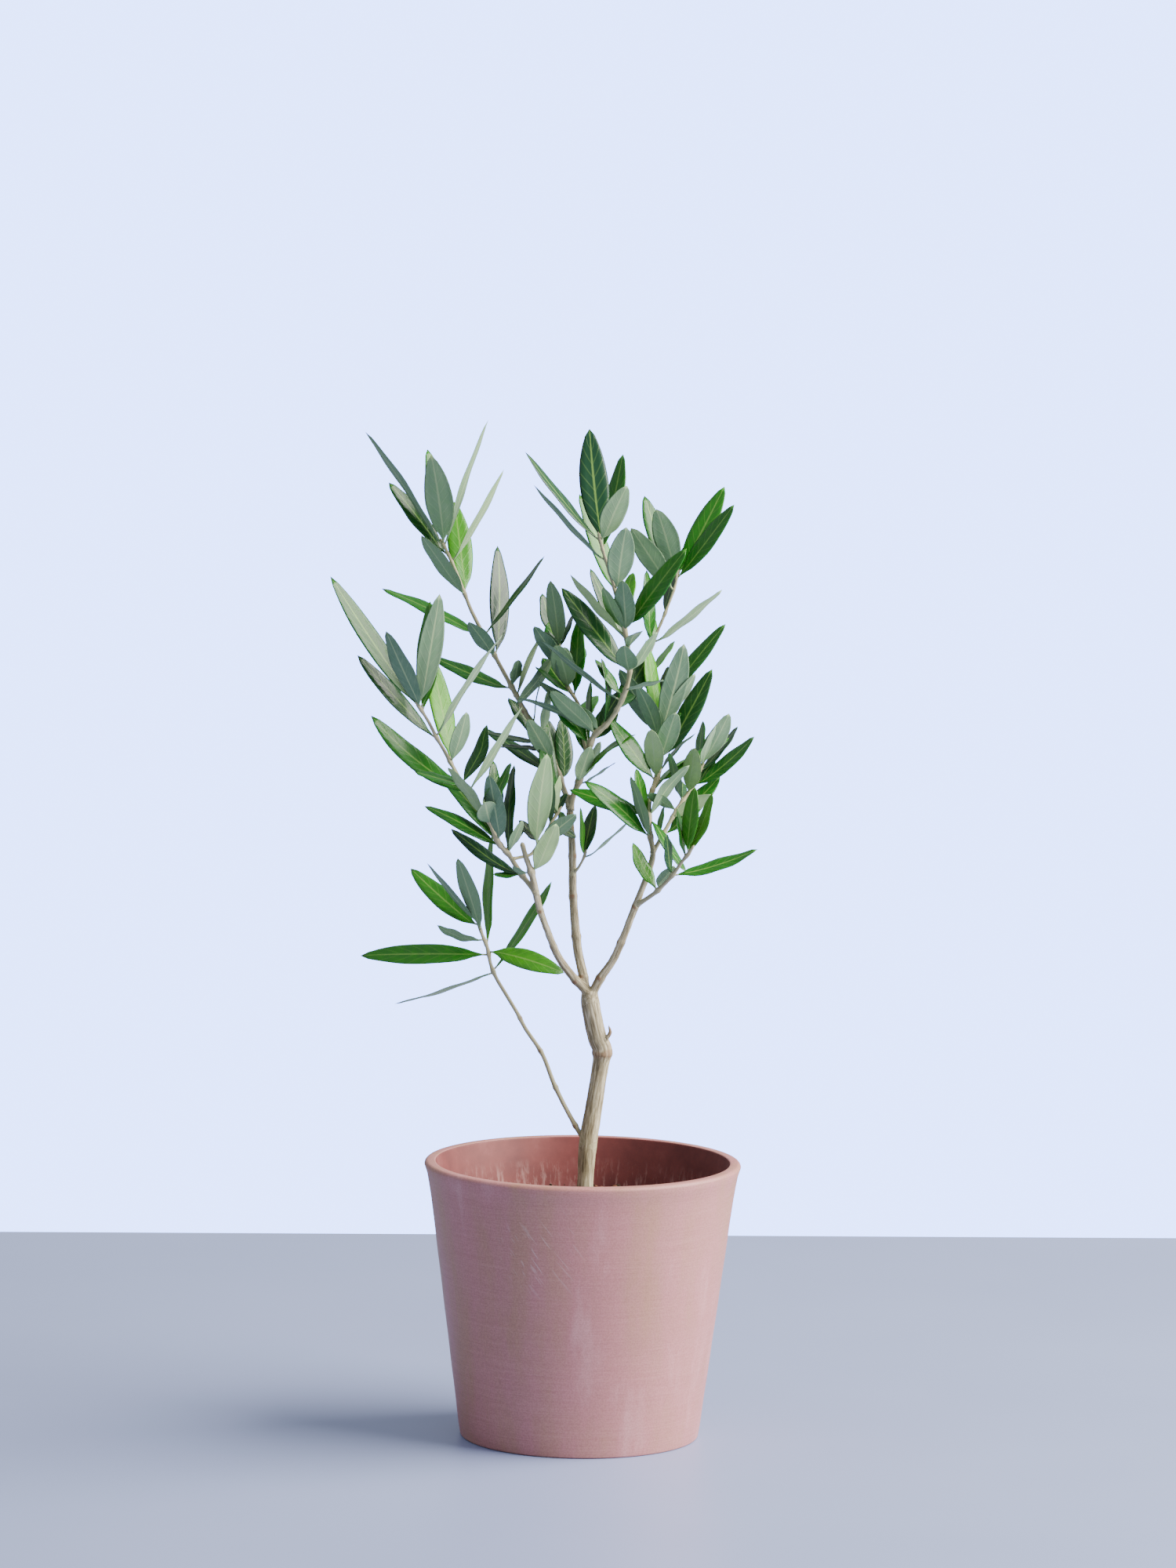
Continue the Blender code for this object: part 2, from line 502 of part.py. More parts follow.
class Leaf:
    """One leaf: where it starts, its chord, its upper side's direction, and how it curves."""

    def __init__(self, stem, row, number):
        self.stem = stem
        self.height, self.lean, self.span, self.width, self.face = row[:5]
        usual = -24 * math.sin(math.radians(self.face)) + 12 * math.sin(3.1 * number)
        self.toward = row[5] if len(row) > 5 else usual
        self.bend = row[6] if len(row) > 6 else 9 * math.sin(1.7 * number) - 3
        self.sweep = 7 * math.sin(2.9 * number + 1)
        self.twist = 12 * math.sin(2.3 * number)

    def frame(self):
        """Base point, chord, upper normal and sideways direction, from the leaf's angles."""
        lean, toward, face = (math.radians(value) for value in (self.lean, self.toward, self.face))
        front = Vector((0, -1, 0))
        flat = Vector((math.sin(lean), 0, math.cos(lean)))
        chord = math.cos(toward) * flat + math.sin(toward) * front
        viewed = (front - front.dot(chord) * chord).normalized()
        inward = viewed.cross(chord) if self.lean > 0 else chord.cross(viewed)
        normal = math.cos(face) * inward + math.sin(face) * viewed
        centre, tangent, _, radius = self.stem.station(self.stem.distance_at(self.height))
        out = (chord - chord.dot(tangent) * tangent).normalized()
        inside_wall = 0.25 * COLLAR_WALL + 0.5 * abs(chord.dot(tangent))
        base = centre + out * (radius + COLLAR_GAP + inside_wall)
        return base, chord, normal, chord.cross(normal)

    def half_width(self, share):
        """Lance-shaped: a narrow stalk, widest near the middle, drawn out to the tip."""
        blade = max(0.0, (share - PETIOLE_SHARE) / (1 - PETIOLE_SHARE))
        outline = 0.5 * self.width * max(0.0, math.sin(math.pi * blade**0.88)) ** 0.75
        return max(outline, PETIOLE_HALF_WIDTH)

    def rings(self, grow=0.0):
        """Stations of four points (one margin, upper midrib, other margin, lower midrib), then the tip."""
        base, chord, normal, across = self.frame()
        length = self.span / math.cos(math.radians(self.toward))
        shares = (0, 0.1, 0.33, 0.6, 0.84) if self.span > LONG_LEAF else (0, 0.14, 0.46, 0.8)
        rings = []
        for share in shares + (1.0,):
            bow, slope = arc_offset(self.bend, share)
            drift, _ = arc_offset(self.sweep, share)
            centre = base + length * (share * chord - bow * normal + drift * across)
            up = math.cos(slope) * normal - math.sin(slope) * chord
            turn = math.radians(self.twist) * (share - 0.3)
            side = math.cos(turn) * across + math.sin(turn) * up
            up = math.cos(turn) * up - math.sin(turn) * across
            half = self.half_width(share) + grow
            lift = LEAF_FOLD * max(0.0, half - PETIOLE_HALF_WIDTH)
            thick = 0.15 * max(0.0, 1 - share / 0.12)
            rings.append([
                centre - half * side + lift * up, centre + (LEAF_UPPER + thick + grow) * up,
                centre + half * side + lift * up, centre - (LEAF_LOWER + thick + grow) * up,
            ])
            tip = centre + grow * chord
        rings[-1] = [tip]
        return rings

    def tree(self, grow, first=0):
        """Its surface for finding crossings, from the given station on."""
        points, faces = leaf_faces(self.rings(grow)[first:])
        return BVHTree.FromPolygons(points, faces)


def arc_offset(turning, share):
    """How far a round arc of this turning stands off its chord at a share of it, and its slope there."""
    angle = math.radians(turning)
    if abs(angle) < 1e-6:
        return 0.0, 0.0
    here = angle * (share - 0.5)
    return (math.cos(here) - math.cos(angle / 2)) / (2 * math.sin(angle / 2)), here


def leaf_faces(rings):
    """Points and faces of a closed leaf, from its stations."""
    points = [point for loop in rings for point in loop]
    faces = [(3, 2, 1, 0)]
    for i in range(len(rings) - 2):
        for j in range(4):
            k = (j + 1) % 4
            faces.append((4 * i + j, 4 * i + k, 4 * i + 4 + k, 4 * i + 4 + j))
    last = 4 * (len(rings) - 2)
    faces += [(last + j, last + (j + 1) % 4, last + 4) for j in range(4)]
    return points, faces


def turns_to_try():
    """Small changes of a leaf's tilt and lean, the least first."""
    tries = [(tilt, lean) for tilt in range(-40, 41, 4) for lean in (-8, -4, 0, 4, 8)]
    return sorted(tries, key=lambda turn: (abs(turn[0]) + 3 * abs(turn[1]), turn))


def settle(leaf, own_stem, mates, others):
    """Turns the leaf a little, as leaves do for light, until it clears every other leaf and stem."""
    tilt, lean = leaf.toward, leaf.lean
    for more_tilt, more_lean in turns_to_try():
        leaf.toward, leaf.lean = tilt + more_tilt, lean + more_lean
        whole, blade, outer_half = leaf.tree(GAP), leaf.tree(GAP, 1), leaf.tree(0.1, 2)
        if blade.overlap(own_stem) or any(whole.overlap(other) for other in others):
            continue
        if not any(outer_half.overlap(mate) for mate in mates):
            return True
    leaf.toward, leaf.lean = tilt, lean
    return False


def collar_stations(stem, low, high):
    between = [distance for distance in stem.distances if low + 1 < distance < high - 1]
    return [stem.station(distance) for distance in [low] + between + [high]]


def collar_span(stem, leaves):
    """Where along the stem a set's collar starts and ends; near the stem's tip it closes over it."""
    places = [stem.distance_at(leaf.height) for leaf in leaves]
    low = min(places) - COLLAR_HALF_HEIGHT
    high = max(places) + COLLAR_HALF_HEIGHT
    return low, high, high > stem.distances[-1] - TIP_STRETCH


def make_collar(stem, span, name, finish):
    """A thin sleeve round the stem, or a cap over its end where the terminal bud is."""
    low, high, capped = span
    stations = collar_stations(stem, low, stem.distances[-1] if capped else high)
    sides = stem.sides
    bm = bmesh.new()
    if capped:
        centre, tangent, side, radius = stem.stations()[-1]
        stations[-1] = (centre + GAP * tangent, tangent, side, radius)
        end = (centre + (GAP + 2.0) * tangent, tangent, side, 0.4 * radius)
        inner = [ring(bm, station, sides, COLLAR_GAP) for station in stations]
        outer = [ring(bm, station, sides, COLLAR_GAP + COLLAR_WALL) for station in stations + [end]]
        bm.faces.new(inner[-1])
        bm.faces.new(outer[-1])
        loops = inner[::-1] + outer
    else:
        inner = [ring(bm, station, sides, COLLAR_GAP) for station in stations]
        outer = [ring(bm, station, sides, COLLAR_GAP + COLLAR_WALL) for station in stations]
        loops = inner[::-1] + outer + [inner[-1]]
    for first, second in zip(loops, loops[1:]):
        skin(bm, first, second)
    return object_from(bm, name, finish)


def make_leaf_sets(stems, swollen, finish):
    """Every set: its collar, its settled leaves joined to it, and a clear seat round its stem."""
    stem_trees = {}
    for name, thing in swollen.items():
        mesh = thing.data
        points = [vertex.co / MM for vertex in mesh.vertices]
        stem_trees[name] = BVHTree.FromPolygons(points, [face.vertices[:] for face in mesh.polygons])
    sets = {}
    number = 0
    for name, (stem_name, rows) in LEAF_SETS.items():
        leaves = []
        for row in rows:
            number += 1
            leaves.append(Leaf(stems[stem_name], row, number))
        sets[name] = leaves
    collars = {}
    collar_trees = {}
    for name, leaves in sets.items():
        stem = leaves[0].stem
        collars[name] = make_collar(stem, collar_span(stem, leaves), name, finish)
        mesh = collars[name].data
        points = [vertex.co / MM for vertex in mesh.vertices]
        collar_trees[name] = BVHTree.FromPolygons(points, [face.vertices[:] for face in mesh.polygons])
    placed = {name: [] for name in sets}
    for name, leaves in sets.items():
        own = LEAF_SETS[name][0]
        others = [tree for other, tree in stem_trees.items() if other != own]
        others += [tree for other, tree in collar_trees.items() if other != name]
        others += [leaf.tree(0.0) for other, before in placed.items() if other != name for leaf in before]
        for leaf in leaves:
            mates = [mate.tree(0.0, 2) for mate in placed[name]]
            if not settle(leaf, stem_trees[own], mates, others):
                print("no clear place:", name, leaf.height, leaf.lean, leaf.span)
            placed[name].append(leaf)
    for name, leaves in sets.items():
        bm = bmesh.new()
        for leaf in leaves:
            points, faces = leaf_faces(leaf.rings())
            verts = [bm.verts.new(point * MM) for point in points]
            for face in faces:
                bm.faces.new([verts[i] for i in face])
        blades = object_from(bm, f"{name}_blades")
        boolean(collars[name], blades, "UNION", crossing_shells=True)
        boolean(collars[name], swollen[LEAF_SETS[name][0]], "DIFFERENCE")


def main():
    clear_scene()
    clay = material("pink clay", (0.46, 0.24, 0.2), 0.7)
    earth = material("potting soil", (0.05, 0.035, 0.025), 0.95)
    bark = material("grey-brown bark", (0.33, 0.29, 0.22), 0.8)
    green = material("olive leaf", (0.07, 0.16, 0.06), 0.4)
    make_pot(clay)
    stems, swollen = make_stems(bark)
    make_soil(earth, [swollen["trunk"]])
    make_leaf_sets(stems, swollen, green)


main()
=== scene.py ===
# %% [markdown]
# # A young olive tree in a clay pot
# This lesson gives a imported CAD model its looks. The CAD model says how big each piece is and where it is.
# Everything here is in metres, Z is up, and the origin is the centre of the pot's base.

# %% Load the model
import math
import random

import bmesh
import bpy
from mathutils import Matrix, Vector, noise
from mathutils.kdtree import KDTree


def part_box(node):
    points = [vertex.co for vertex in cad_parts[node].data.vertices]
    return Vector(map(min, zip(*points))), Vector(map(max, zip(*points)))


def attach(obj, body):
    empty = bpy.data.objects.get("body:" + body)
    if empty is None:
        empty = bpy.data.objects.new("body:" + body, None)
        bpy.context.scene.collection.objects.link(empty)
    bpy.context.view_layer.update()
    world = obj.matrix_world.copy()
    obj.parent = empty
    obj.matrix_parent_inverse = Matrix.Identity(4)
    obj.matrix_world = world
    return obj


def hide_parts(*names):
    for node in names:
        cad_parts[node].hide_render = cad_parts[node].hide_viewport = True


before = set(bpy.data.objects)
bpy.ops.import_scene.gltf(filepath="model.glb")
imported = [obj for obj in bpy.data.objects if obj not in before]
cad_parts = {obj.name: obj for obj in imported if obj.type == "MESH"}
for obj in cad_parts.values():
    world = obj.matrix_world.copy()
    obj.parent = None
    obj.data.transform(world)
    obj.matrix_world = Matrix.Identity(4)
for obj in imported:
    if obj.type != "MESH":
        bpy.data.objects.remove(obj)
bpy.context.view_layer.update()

# %% [markdown]
# Three helpers are used all through. Colours are written as sRGB hex, as a paint chart gives them, and the
# shader wants linear light, so one function converts them. Node trees get long when each link is a line, so
# one function adds a node with its settings, its values and its links. A bmesh becomes a shown piece in one way.

# %% Helpers
MM = 0.001
MIX_A, MIX_B, MIX_COLOUR = 6, 7, 2  # a colour Mix node's sockets, whose names repeat for each data type


def linear(hex_colour):
    """An sRGB hex colour as linear red, green, blue and alpha."""
    parts = [int(hex_colour[i:i + 2], 16) / 255 for i in (1, 3, 5)]
    return (*(p / 12.92 if p <= 0.04045 else ((p + 0.055) / 1.055) ** 2.4 for p in parts), 1.0)


def add_node(material, kind, inputs=None, stops=None, **settings):
    """A node with its settings; an input is a value, a hex colour or the socket that feeds it."""
    tree = material.node_tree
    node = tree.nodes.new(kind)
    for name, value in settings.items():
        setattr(node, name, value)
    for name, value in (inputs or {}).items():
        if isinstance(value, bpy.types.NodeSocket):
            tree.links.new(value, node.inputs[name])
        else:
            node.inputs[name].default_value = linear(value) if isinstance(value, str) else value
    for i, (place, colour) in enumerate(stops or ()):
        element = node.color_ramp.elements[i] if i < 2 else node.color_ramp.elements.new(place)
        element.position = place
        element.color = linear(colour)
    return node


def new_material(name, **values):
    """A Principled material; values are its own sockets' constants. Returns it and its shader."""
    material = bpy.data.materials.new(name)
    material.use_nodes = True
    shader = material.node_tree.nodes["Principled BSDF"]
    for socket, value in values.items():
        shader.inputs[socket.replace("_", " ")].default_value = value
    return material, shader


def shown_piece(bm, name, materials, slot, *nodes):
    """The bmesh as a smooth object on the body "root", standing for the CAD nodes named."""
    mesh = bpy.data.meshes.new(name)
    bm.to_mesh(mesh)
    bm.free()
    mesh.shade_smooth()
    for material in materials:
        mesh.materials.append(material)
    piece = bpy.data.objects.new(name, mesh)
    bpy.context.scene.collection.objects.link(piece)
    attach(piece, "root")
    if nodes:
        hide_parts(*nodes)
    return piece


def smoothstep(low, high, value):
    share = min(1.0, max(0.0, (value - low) / (high - low)))
    return share * share * (3 - 2 * share)


# %% [markdown]
# ## The camera
# It stands four metres off with a long lens, so the pot's sides hardly converge, and looks down a little,
# enough to see over the rim. It is rolled by less than a degree, as a camera held by hand is.

# %% Camera
CAMERA_PLACE = (0.0, -4.0, 0.85)
LOOKS_DOWN = 6.79  # degrees
ROLL = 0.8
camera = bpy.data.objects.new("camera", bpy.data.cameras.new("camera"))
camera.data.lens = 163.7
camera.data.sensor_width = 36.0
camera.data.clip_end = 50.0
turned = Matrix.Rotation(math.radians(90 - LOOKS_DOWN), 4, "X") @ Matrix.Rotation(math.radians(ROLL), 4, "Z")
camera.matrix_world = Matrix.Translation(CAMERA_PLACE) @ turned
bpy.context.scene.collection.objects.link(camera)
bpy.context.scene.camera = camera
print("camera looks along", [round(v, 3) for v in turned @ Vector((0, 0, -1))])

# %% [markdown]
# ## Table, backdrop and light
# A pale grey table top ends behind the pot, and past it is plain pale air: the world's colour is both the
# backdrop and the soft fill. One large area light stands to the right and a little in front, low enough to
# throw a long soft shadow to the left.

# %% Table top and light
TABLE_BACK = 0.628
TABLE_SKEW = math.radians(2.7)  # its back edge is not quite square to the camera
TABLE_HALF = 3.0
satin_table, table_shader = new_material("satin_painted_table", Roughness=0.42, IOR=1.45)
table_place = add_node(satin_table, "ShaderNodeTexCoord").outputs["Object"]
table_cloud = add_node(satin_table, "ShaderNodeTexNoise", {"Vector": table_place, "Scale": 3.0, "Detail": 3.0})
table_tone = add_node(
    satin_table, "ShaderNodeValToRGB", {"Fac": table_cloud.outputs["Fac"]}, stops=((0.3, "#8f9dc4"), (0.7, "#95a3ca"))
)
satin_table.node_tree.links.new(table_tone.outputs["Color"], table_shader.inputs["Base Color"])
bm = bmesh.new()
bmesh.ops.create_cube(bm, size=1.0)
bmesh.ops.scale(bm, vec=(2 * TABLE_HALF, 2 * TABLE_HALF, 0.05), verts=bm.verts)
bmesh.ops.translate(bm, vec=(0, -TABLE_HALF, -0.0251), verts=bm.verts)
bmesh.ops.rotate(bm, cent=(0, 0, 0), matrix=Matrix.Rotation(TABLE_SKEW, 3, "Z"), verts=bm.verts)
bmesh.ops.translate(bm, vec=(0, TABLE_BACK, 0), verts=bm.verts)
table_mesh = bpy.data.meshes.new("table_top")
bm.to_mesh(table_mesh)
bm.free()
table_mesh.materials.append(satin_table)
table_top = bpy.data.objects.new("table_top", table_mesh)
bpy.context.scene.collection.objects.link(table_top)

world = bpy.data.worlds.new("pale_room")
world.use_nodes = True
fill = world.node_tree.nodes["Background"]
fill.inputs["Color"].default_value = linear("#e9eefb")
fill.inputs["Strength"].default_value = 0.6
backdrop = world.node_tree.nodes.new("ShaderNodeBackground")
backdrop.inputs["Color"].default_value = linear("#8ba5f0")
backdrop.inputs["Strength"].default_value = 9.0
seen = world.node_tree.nodes.new("ShaderNodeLightPath")
either = world.node_tree.nodes.new("ShaderNodeMixShader")
world.node_tree.links.new(seen.outputs["Is Camera Ray"], either.inputs["Fac"])
world.node_tree.links.new(fill.outputs["Background"], either.inputs[1])
world.node_tree.links.new(backdrop.outputs["Background"], either.inputs[2])
world.node_tree.links.new(either.outputs["Shader"], world.node_tree.nodes["World Output"].inputs["Surface"])
bpy.context.scene.world = world


def add_window(name, turn, height, distance, size, power, colour):
    """A square area light, turned right of the front by so many degrees, aimed at the middle of the tree."""
    lamp = bpy.data.objects.new(name, bpy.data.lights.new(name, "AREA"))
    lamp.data.shape = "SQUARE"
    lamp.data.size = size
    lamp.data.energy = power
    lamp.data.color = linear(colour)[:3]
    side, rise = math.radians(turn), math.radians(height)
    out = Vector((math.sin(side) * math.cos(rise), -math.cos(side) * math.cos(rise), math.sin(rise)))
    lamp.matrix_world = Matrix.Translation(Vector((0, 0, 0.25)) + out * distance) @ out.to_track_quat(
        "Z", "Y").to_matrix().to_4x4()
    bpy.context.scene.collection.objects.link(lamp)


add_window("soft_window", turn=82, height=32, distance=2.8, size=3.0, power=420, colour="#fff8f2")

# %% [markdown]
# ## Clay
# The pot is fired clay, turned and wiped with a damp sponge: a dry, dusty skin, so it is rough, and the wiping
# leaves fine level streaks. The colour drifts in upright clouds where the glaze-free clay took more or less
# water. The inside is redder and darker than the outside: its darkness is painted shade for the inside of the
# pot. Salts from the water have dried on it as pale upright runs just above the soil.

# %% Dry pink clay, outside
POT_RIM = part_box("pot")[1][2]
clay_out, clay_shader = new_material("wiped_terracotta_dusty_pink", Roughness=0.5, IOR=1.5)
place = add_node(clay_out, "ShaderNodeTexCoord").outputs["Object"]
level = add_node(clay_out, "ShaderNodeMapping", {"Vector": place, "Scale": (1.0, 1.0, 55.0)}).outputs["Vector"]
upright = add_node(clay_out, "ShaderNodeMapping", {"Vector": place, "Scale": (1.0, 1.0, 0.22)}).outputs["Vector"]
streaks = add_node(clay_out, "ShaderNodeTexNoise", {"Vector": level, "Scale": 26.0, "Detail": 6.0, "Roughness": 0.65})
clouds = add_node(clay_out, "ShaderNodeTexNoise", {"Vector": upright, "Scale": 42.0, "Detail": 5.0, "Roughness": 0.6})
grains = add_node(clay_out, "ShaderNodeTexNoise", {"Vector": place, "Scale": 1 / (0.9 * MM), "Detail": 3.0})
cloud_tone = add_node(
    clay_out, "ShaderNodeValToRGB", {"Fac": clouds.outputs["Fac"]},
    stops=((0.34, "#ad8069"), (0.47, "#b37c74"), (0.58, "#b87a7a"), (0.7, "#c58e8e")),
)
streak_tone = add_node(
    clay_out, "ShaderNodeValToRGB", {"Fac": streaks.outputs["Fac"]}, stops=((0.35, "#a06a60"), (0.68, "#c9948c"))
)
wiped = add_node(
    clay_out, "ShaderNodeMix", {"Factor": 0.24, MIX_A: cloud_tone.outputs["Color"], MIX_B: streak_tone.outputs["Color"]},
    data_type="RGBA",
)
grain_tone = add_node(
    clay_out, "ShaderNodeValToRGB", {"Fac": grains.outputs["Fac"]}, stops=((0.36, "#8f6a64"), (0.62, "#ffffff"))
)
speckled = add_node(
    clay_out, "ShaderNodeMix", {"Factor": 0.22, MIX_A: wiped.outputs[MIX_COLOUR], MIX_B: grain_tone.outputs["Color"]},
    data_type="RGBA", blend_type="MULTIPLY",
)
scuff_turn = add_node(clay_out, "ShaderNodeMapping", {"Vector": place, "Rotation": (0.0, math.radians(38), 0.0)})
scuff_run = add_node(
    clay_out, "ShaderNodeMapping", {"Vector": scuff_turn.outputs["Vector"], "Scale": (1.0, 1.0, 0.05)}
)
scuffs = add_node(
    clay_out, "ShaderNodeTexNoise", {"Vector": scuff_run.outputs["Vector"], "Scale": 700.0, "Detail": 1.0}
)
scuff_line = add_node(
    clay_out, "ShaderNodeValToRGB", {"Fac": scuffs.outputs["Fac"]}, stops=((0.63, "#000000"), (0.69, "#ffffff"))
)
scuff_distance = add_node(
    clay_out, "ShaderNodeVectorMath", {0: place, 1: (-22 * MM, -80 * MM, 118 * MM)}, operation="DISTANCE"
)
scuff_area = add_node(
    clay_out, "ShaderNodeMapRange",
    {"Value": scuff_distance.outputs["Value"], "From Min": 32 * MM, "From Max": 6 * MM, "To Max": 0.26},
)
scuffed_share = add_node(
    clay_out, "ShaderNodeMath", {0: scuff_line.outputs["Color"], 1: scuff_area.outputs["Result"]}, operation="MULTIPLY"
)
scuffed = add_node(
    clay_out, "ShaderNodeMix",
    {"Factor": scuffed_share.outputs["Value"], MIX_A: speckled.outputs[MIX_COLOUR], MIX_B: "#dcc6c0"},
    data_type="RGBA",
)
relief = add_node(
    clay_out, "ShaderNodeMath", {0: streaks.outputs["Fac"], 1: grains.outputs["Fac"]}, operation="ADD"
)
clay_bump = add_node(
    clay_out, "ShaderNodeBump", {"Height": relief.outputs["Value"], "Strength": 0.25, "Distance": 0.18 * MM}
)
clay_out.node_tree.links.new(scuffed.outputs[MIX_COLOUR], clay_shader.inputs["Base Color"])
clay_out.node_tree.links.new(clay_bump.outputs["Normal"], clay_shader.inputs["Normal"])

# %% Red clay, inside, darkened as painted shade
SOIL_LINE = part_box("soil")[1][2]
# The inner clay is a darker copy of the clay: its darkness is painted shade for the inside of the pot.
clay_in, inner_clay_shader = new_material("terracotta_red_inner_painted_shade", Roughness=0.66, IOR=1.48)
place = add_node(clay_in, "ShaderNodeTexCoord").outputs["Object"]
runs_place = add_node(clay_in, "ShaderNodeMapping", {"Vector": place, "Scale": (1.0, 1.0, 0.16)}).outputs["Vector"]
runs = add_node(
    clay_in, "ShaderNodeTexNoise", {"Vector": runs_place, "Scale": 330.0, "Detail": 4.0, "Roughness": 0.7}
)
blotches = add_node(clay_in, "ShaderNodeTexNoise", {"Vector": place, "Scale": 45.0, "Detail": 5.0, "Roughness": 0.6})
# These reds are redder and darker than the outside; the darkness is painted shade inside the pot.
inner_painted_shade_tone = add_node(
    clay_in, "ShaderNodeValToRGB", {"Fac": blotches.outputs["Fac"]},
    stops=((0.3, "#642f2e"), (0.55, "#763a37"), (0.75, "#874d4b")),
)
height = add_node(clay_in, "ShaderNodeSeparateXYZ", {"Vector": place}).outputs["Z"]
salt_height = add_node(
    clay_in, "ShaderNodeMapRange",
    {"Value": height, "From Min": SOIL_LINE + 14 * MM, "From Max": SOIL_LINE + 1 * MM, "To Max": 0.75},
)
salt_runs = add_node(
    clay_in, "ShaderNodeMapRange", {"Value": runs.outputs["Fac"], "From Min": 0.5, "From Max": 0.68}
)
salt = add_node(
    clay_in, "ShaderNodeMath", {0: salt_height.outputs["Result"], 1: salt_runs.outputs["Result"]}, operation="MULTIPLY"
)
salted = add_node(
    clay_in, "ShaderNodeMix",
    {"Factor": salt.outputs["Value"], MIX_A: inner_painted_shade_tone.outputs["Color"], MIX_B: "#b48d86"}, data_type="RGBA",
)
inner_clay_bump = add_node(
    clay_in, "ShaderNodeBump", {"Height": blotches.outputs["Fac"], "Strength": 0.3, "Distance": 0.3 * MM}
)
clay_in.node_tree.links.new(salted.outputs[MIX_COLOUR], inner_clay_shader.inputs["Base Color"])
clay_in.node_tree.links.new(inner_clay_bump.outputs["Normal"], inner_clay_shader.inputs["Normal"])
print("clay materials:", clay_out.name, clay_in.name)

# %% [markdown]
# ## The pot
# A turned pot is a profile spun round an axis, on the wheel as in Blender. The CAD pot has 40 flat sides; this
# one follows the same profile with 144, more points in the lip, and a wall that waves by a tenth of a
# millimetre, as a hand leaves it. The four drain holes are cut with a Boolean, whose result is kept.

# %% Turn the pot
RIM_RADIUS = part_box("pot")[1][0] / MM
BASE_RADIUS = 68.0
POT_HEIGHT = POT_RIM / MM
WALL = 6.6
FLOOR = 9.0
LIP_FLARE = 1.3
LIP_HEIGHT = 20.0
OUTER_ROUND = 2.2
INNER_ROUND = 1.2
FOOT_ROUND = 1.2
DRAIN_RADIUS = 6.0
DRAIN_CIRCLE = 31.0
TURNED_SIDES = 144


def arc(centre, radius, start, end, steps):
    """Points of a round corner in the profile's plane; angles in degrees from +X."""
    angles = [math.radians(start + (end - start) * step / steps) for step in range(steps + 1)]
    return [(centre[0] + radius * math.cos(a), centre[1] + radius * math.sin(a)) for a in angles]


def outer_radius(level):
    """The pot's outside: a straight taper that swells a little into the lip."""
    straight = BASE_RADIUS + (RIM_RADIUS - LIP_FLARE - BASE_RADIUS) * level / POT_HEIGHT
    return straight + LIP_FLARE * max(0.0, (level - POT_HEIGHT + LIP_HEIGHT) / LIP_HEIGHT) ** 1.5


def spun(profile, steps):
    """A profile of (radius, height) points in mm that starts and ends on the axis, spun shut."""
    bm = bmesh.new()
    verts = [bm.verts.new((radius * MM, 0, level * MM)) for radius, level in profile]
    edges = [bm.edges.new(pair) for pair in zip(verts, verts[1:])]
    bmesh.ops.spin(
        bm, geom=verts + edges, cent=(0, 0, 0), axis=(0, 0, 1), angle=math.tau, steps=steps, use_merge=True
    )
    bmesh.ops.remove_doubles(bm, verts=bm.verts, dist=0.001 * MM)
    bmesh.ops.recalc_face_normals(bm, faces=bm.faces)
    return bm


heights = [POT_HEIGHT * step / 24 for step in range(1, 24)]
profile = [(0, 0), (BASE_RADIUS * 0.5, 0)]
profile += arc((BASE_RADIUS - FOOT_ROUND, FOOT_ROUND), FOOT_ROUND, -90, 0, 4)
profile += [(outer_radius(level) + 0.06 * math.sin(2.1 * level), level) for level in heights]
profile += arc((RIM_RADIUS - OUTER_ROUND, POT_HEIGHT - OUTER_ROUND), OUTER_ROUND, 0, 90, 6)
profile += arc((RIM_RADIUS - WALL + INNER_ROUND, POT_HEIGHT - INNER_ROUND), INNER_ROUND, 90, 180, 4)
profile += [(outer_radius(level) - WALL, level) for level in reversed(heights) if level > FLOOR + 4]
profile += [(outer_radius(FLOOR + 3) - WALL, FLOOR + 3), (outer_radius(FLOOR) - WALL - 3, FLOOR), (0, FLOOR)]
bm = spun(profile, TURNED_SIDES)
# Faces inside the pot, above its floor, take the inner clay, whose darkness is painted shade.
inner_edge = RIM_RADIUS - WALL + 0.4 * INNER_ROUND
for face in bm.faces:
    centre = face.calc_center_median() / MM
    inward = face.normal.dot(Vector((centre.x, centre.y, 0))) < 0
    above_floor = centre.z > FLOOR - 1
    face.material_index = 1 if above_floor and (inward or face.normal.z > 0.5) and centre.xy.length < inner_edge else 0
pot = shown_piece(bm, "turned_pot", [clay_out, clay_in], "clay", "pot")

bm = bmesh.new()
for hole in range(4):
    turn = math.tau * (hole + 0.37) / 4
    middle = Vector((math.cos(turn), math.sin(turn), 0)) * DRAIN_CIRCLE * MM
    bmesh.ops.create_cone(
        bm, cap_ends=True, segments=32, radius1=DRAIN_RADIUS * MM, radius2=DRAIN_RADIUS * MM, depth=4 * FLOOR * MM,
        matrix=Matrix.Translation(middle),
    )
cutter_mesh = bpy.data.meshes.new("drain_cutter")
bm.to_mesh(cutter_mesh)
bm.free()
cutter = bpy.data.objects.new("drain_cutter", cutter_mesh)
bpy.context.scene.collection.objects.link(cutter)
drilling = pot.modifiers.new("drain holes", "BOOLEAN")
drilling.operation = "DIFFERENCE"
drilling.object = cutter
depsgraph = bpy.context.evaluated_depsgraph_get()
drilled = bpy.data.meshes.new_from_object(pot.evaluated_get(depsgraph), depsgraph=depsgraph)
pot.modifiers.clear()
pot.data = drilled
drilled.shade_smooth()
drilled.set_sharp_from_angle(angle=math.radians(35))
bpy.data.objects.remove(cutter, do_unlink=True)
print("pot:", len(pot.data.polygons), "faces")

# %% [markdown]
# ## Potting soil
# Potting soil is composted bark and peat with grit in it: near black, matt and crumbly. A flat disc looks
# painted, so the top is a spun disc whose points are lifted by noise, and several hundred loose crumbs lie on
# it. Each crumb is a rough ball of twenty faces, squashed and turned its own way.

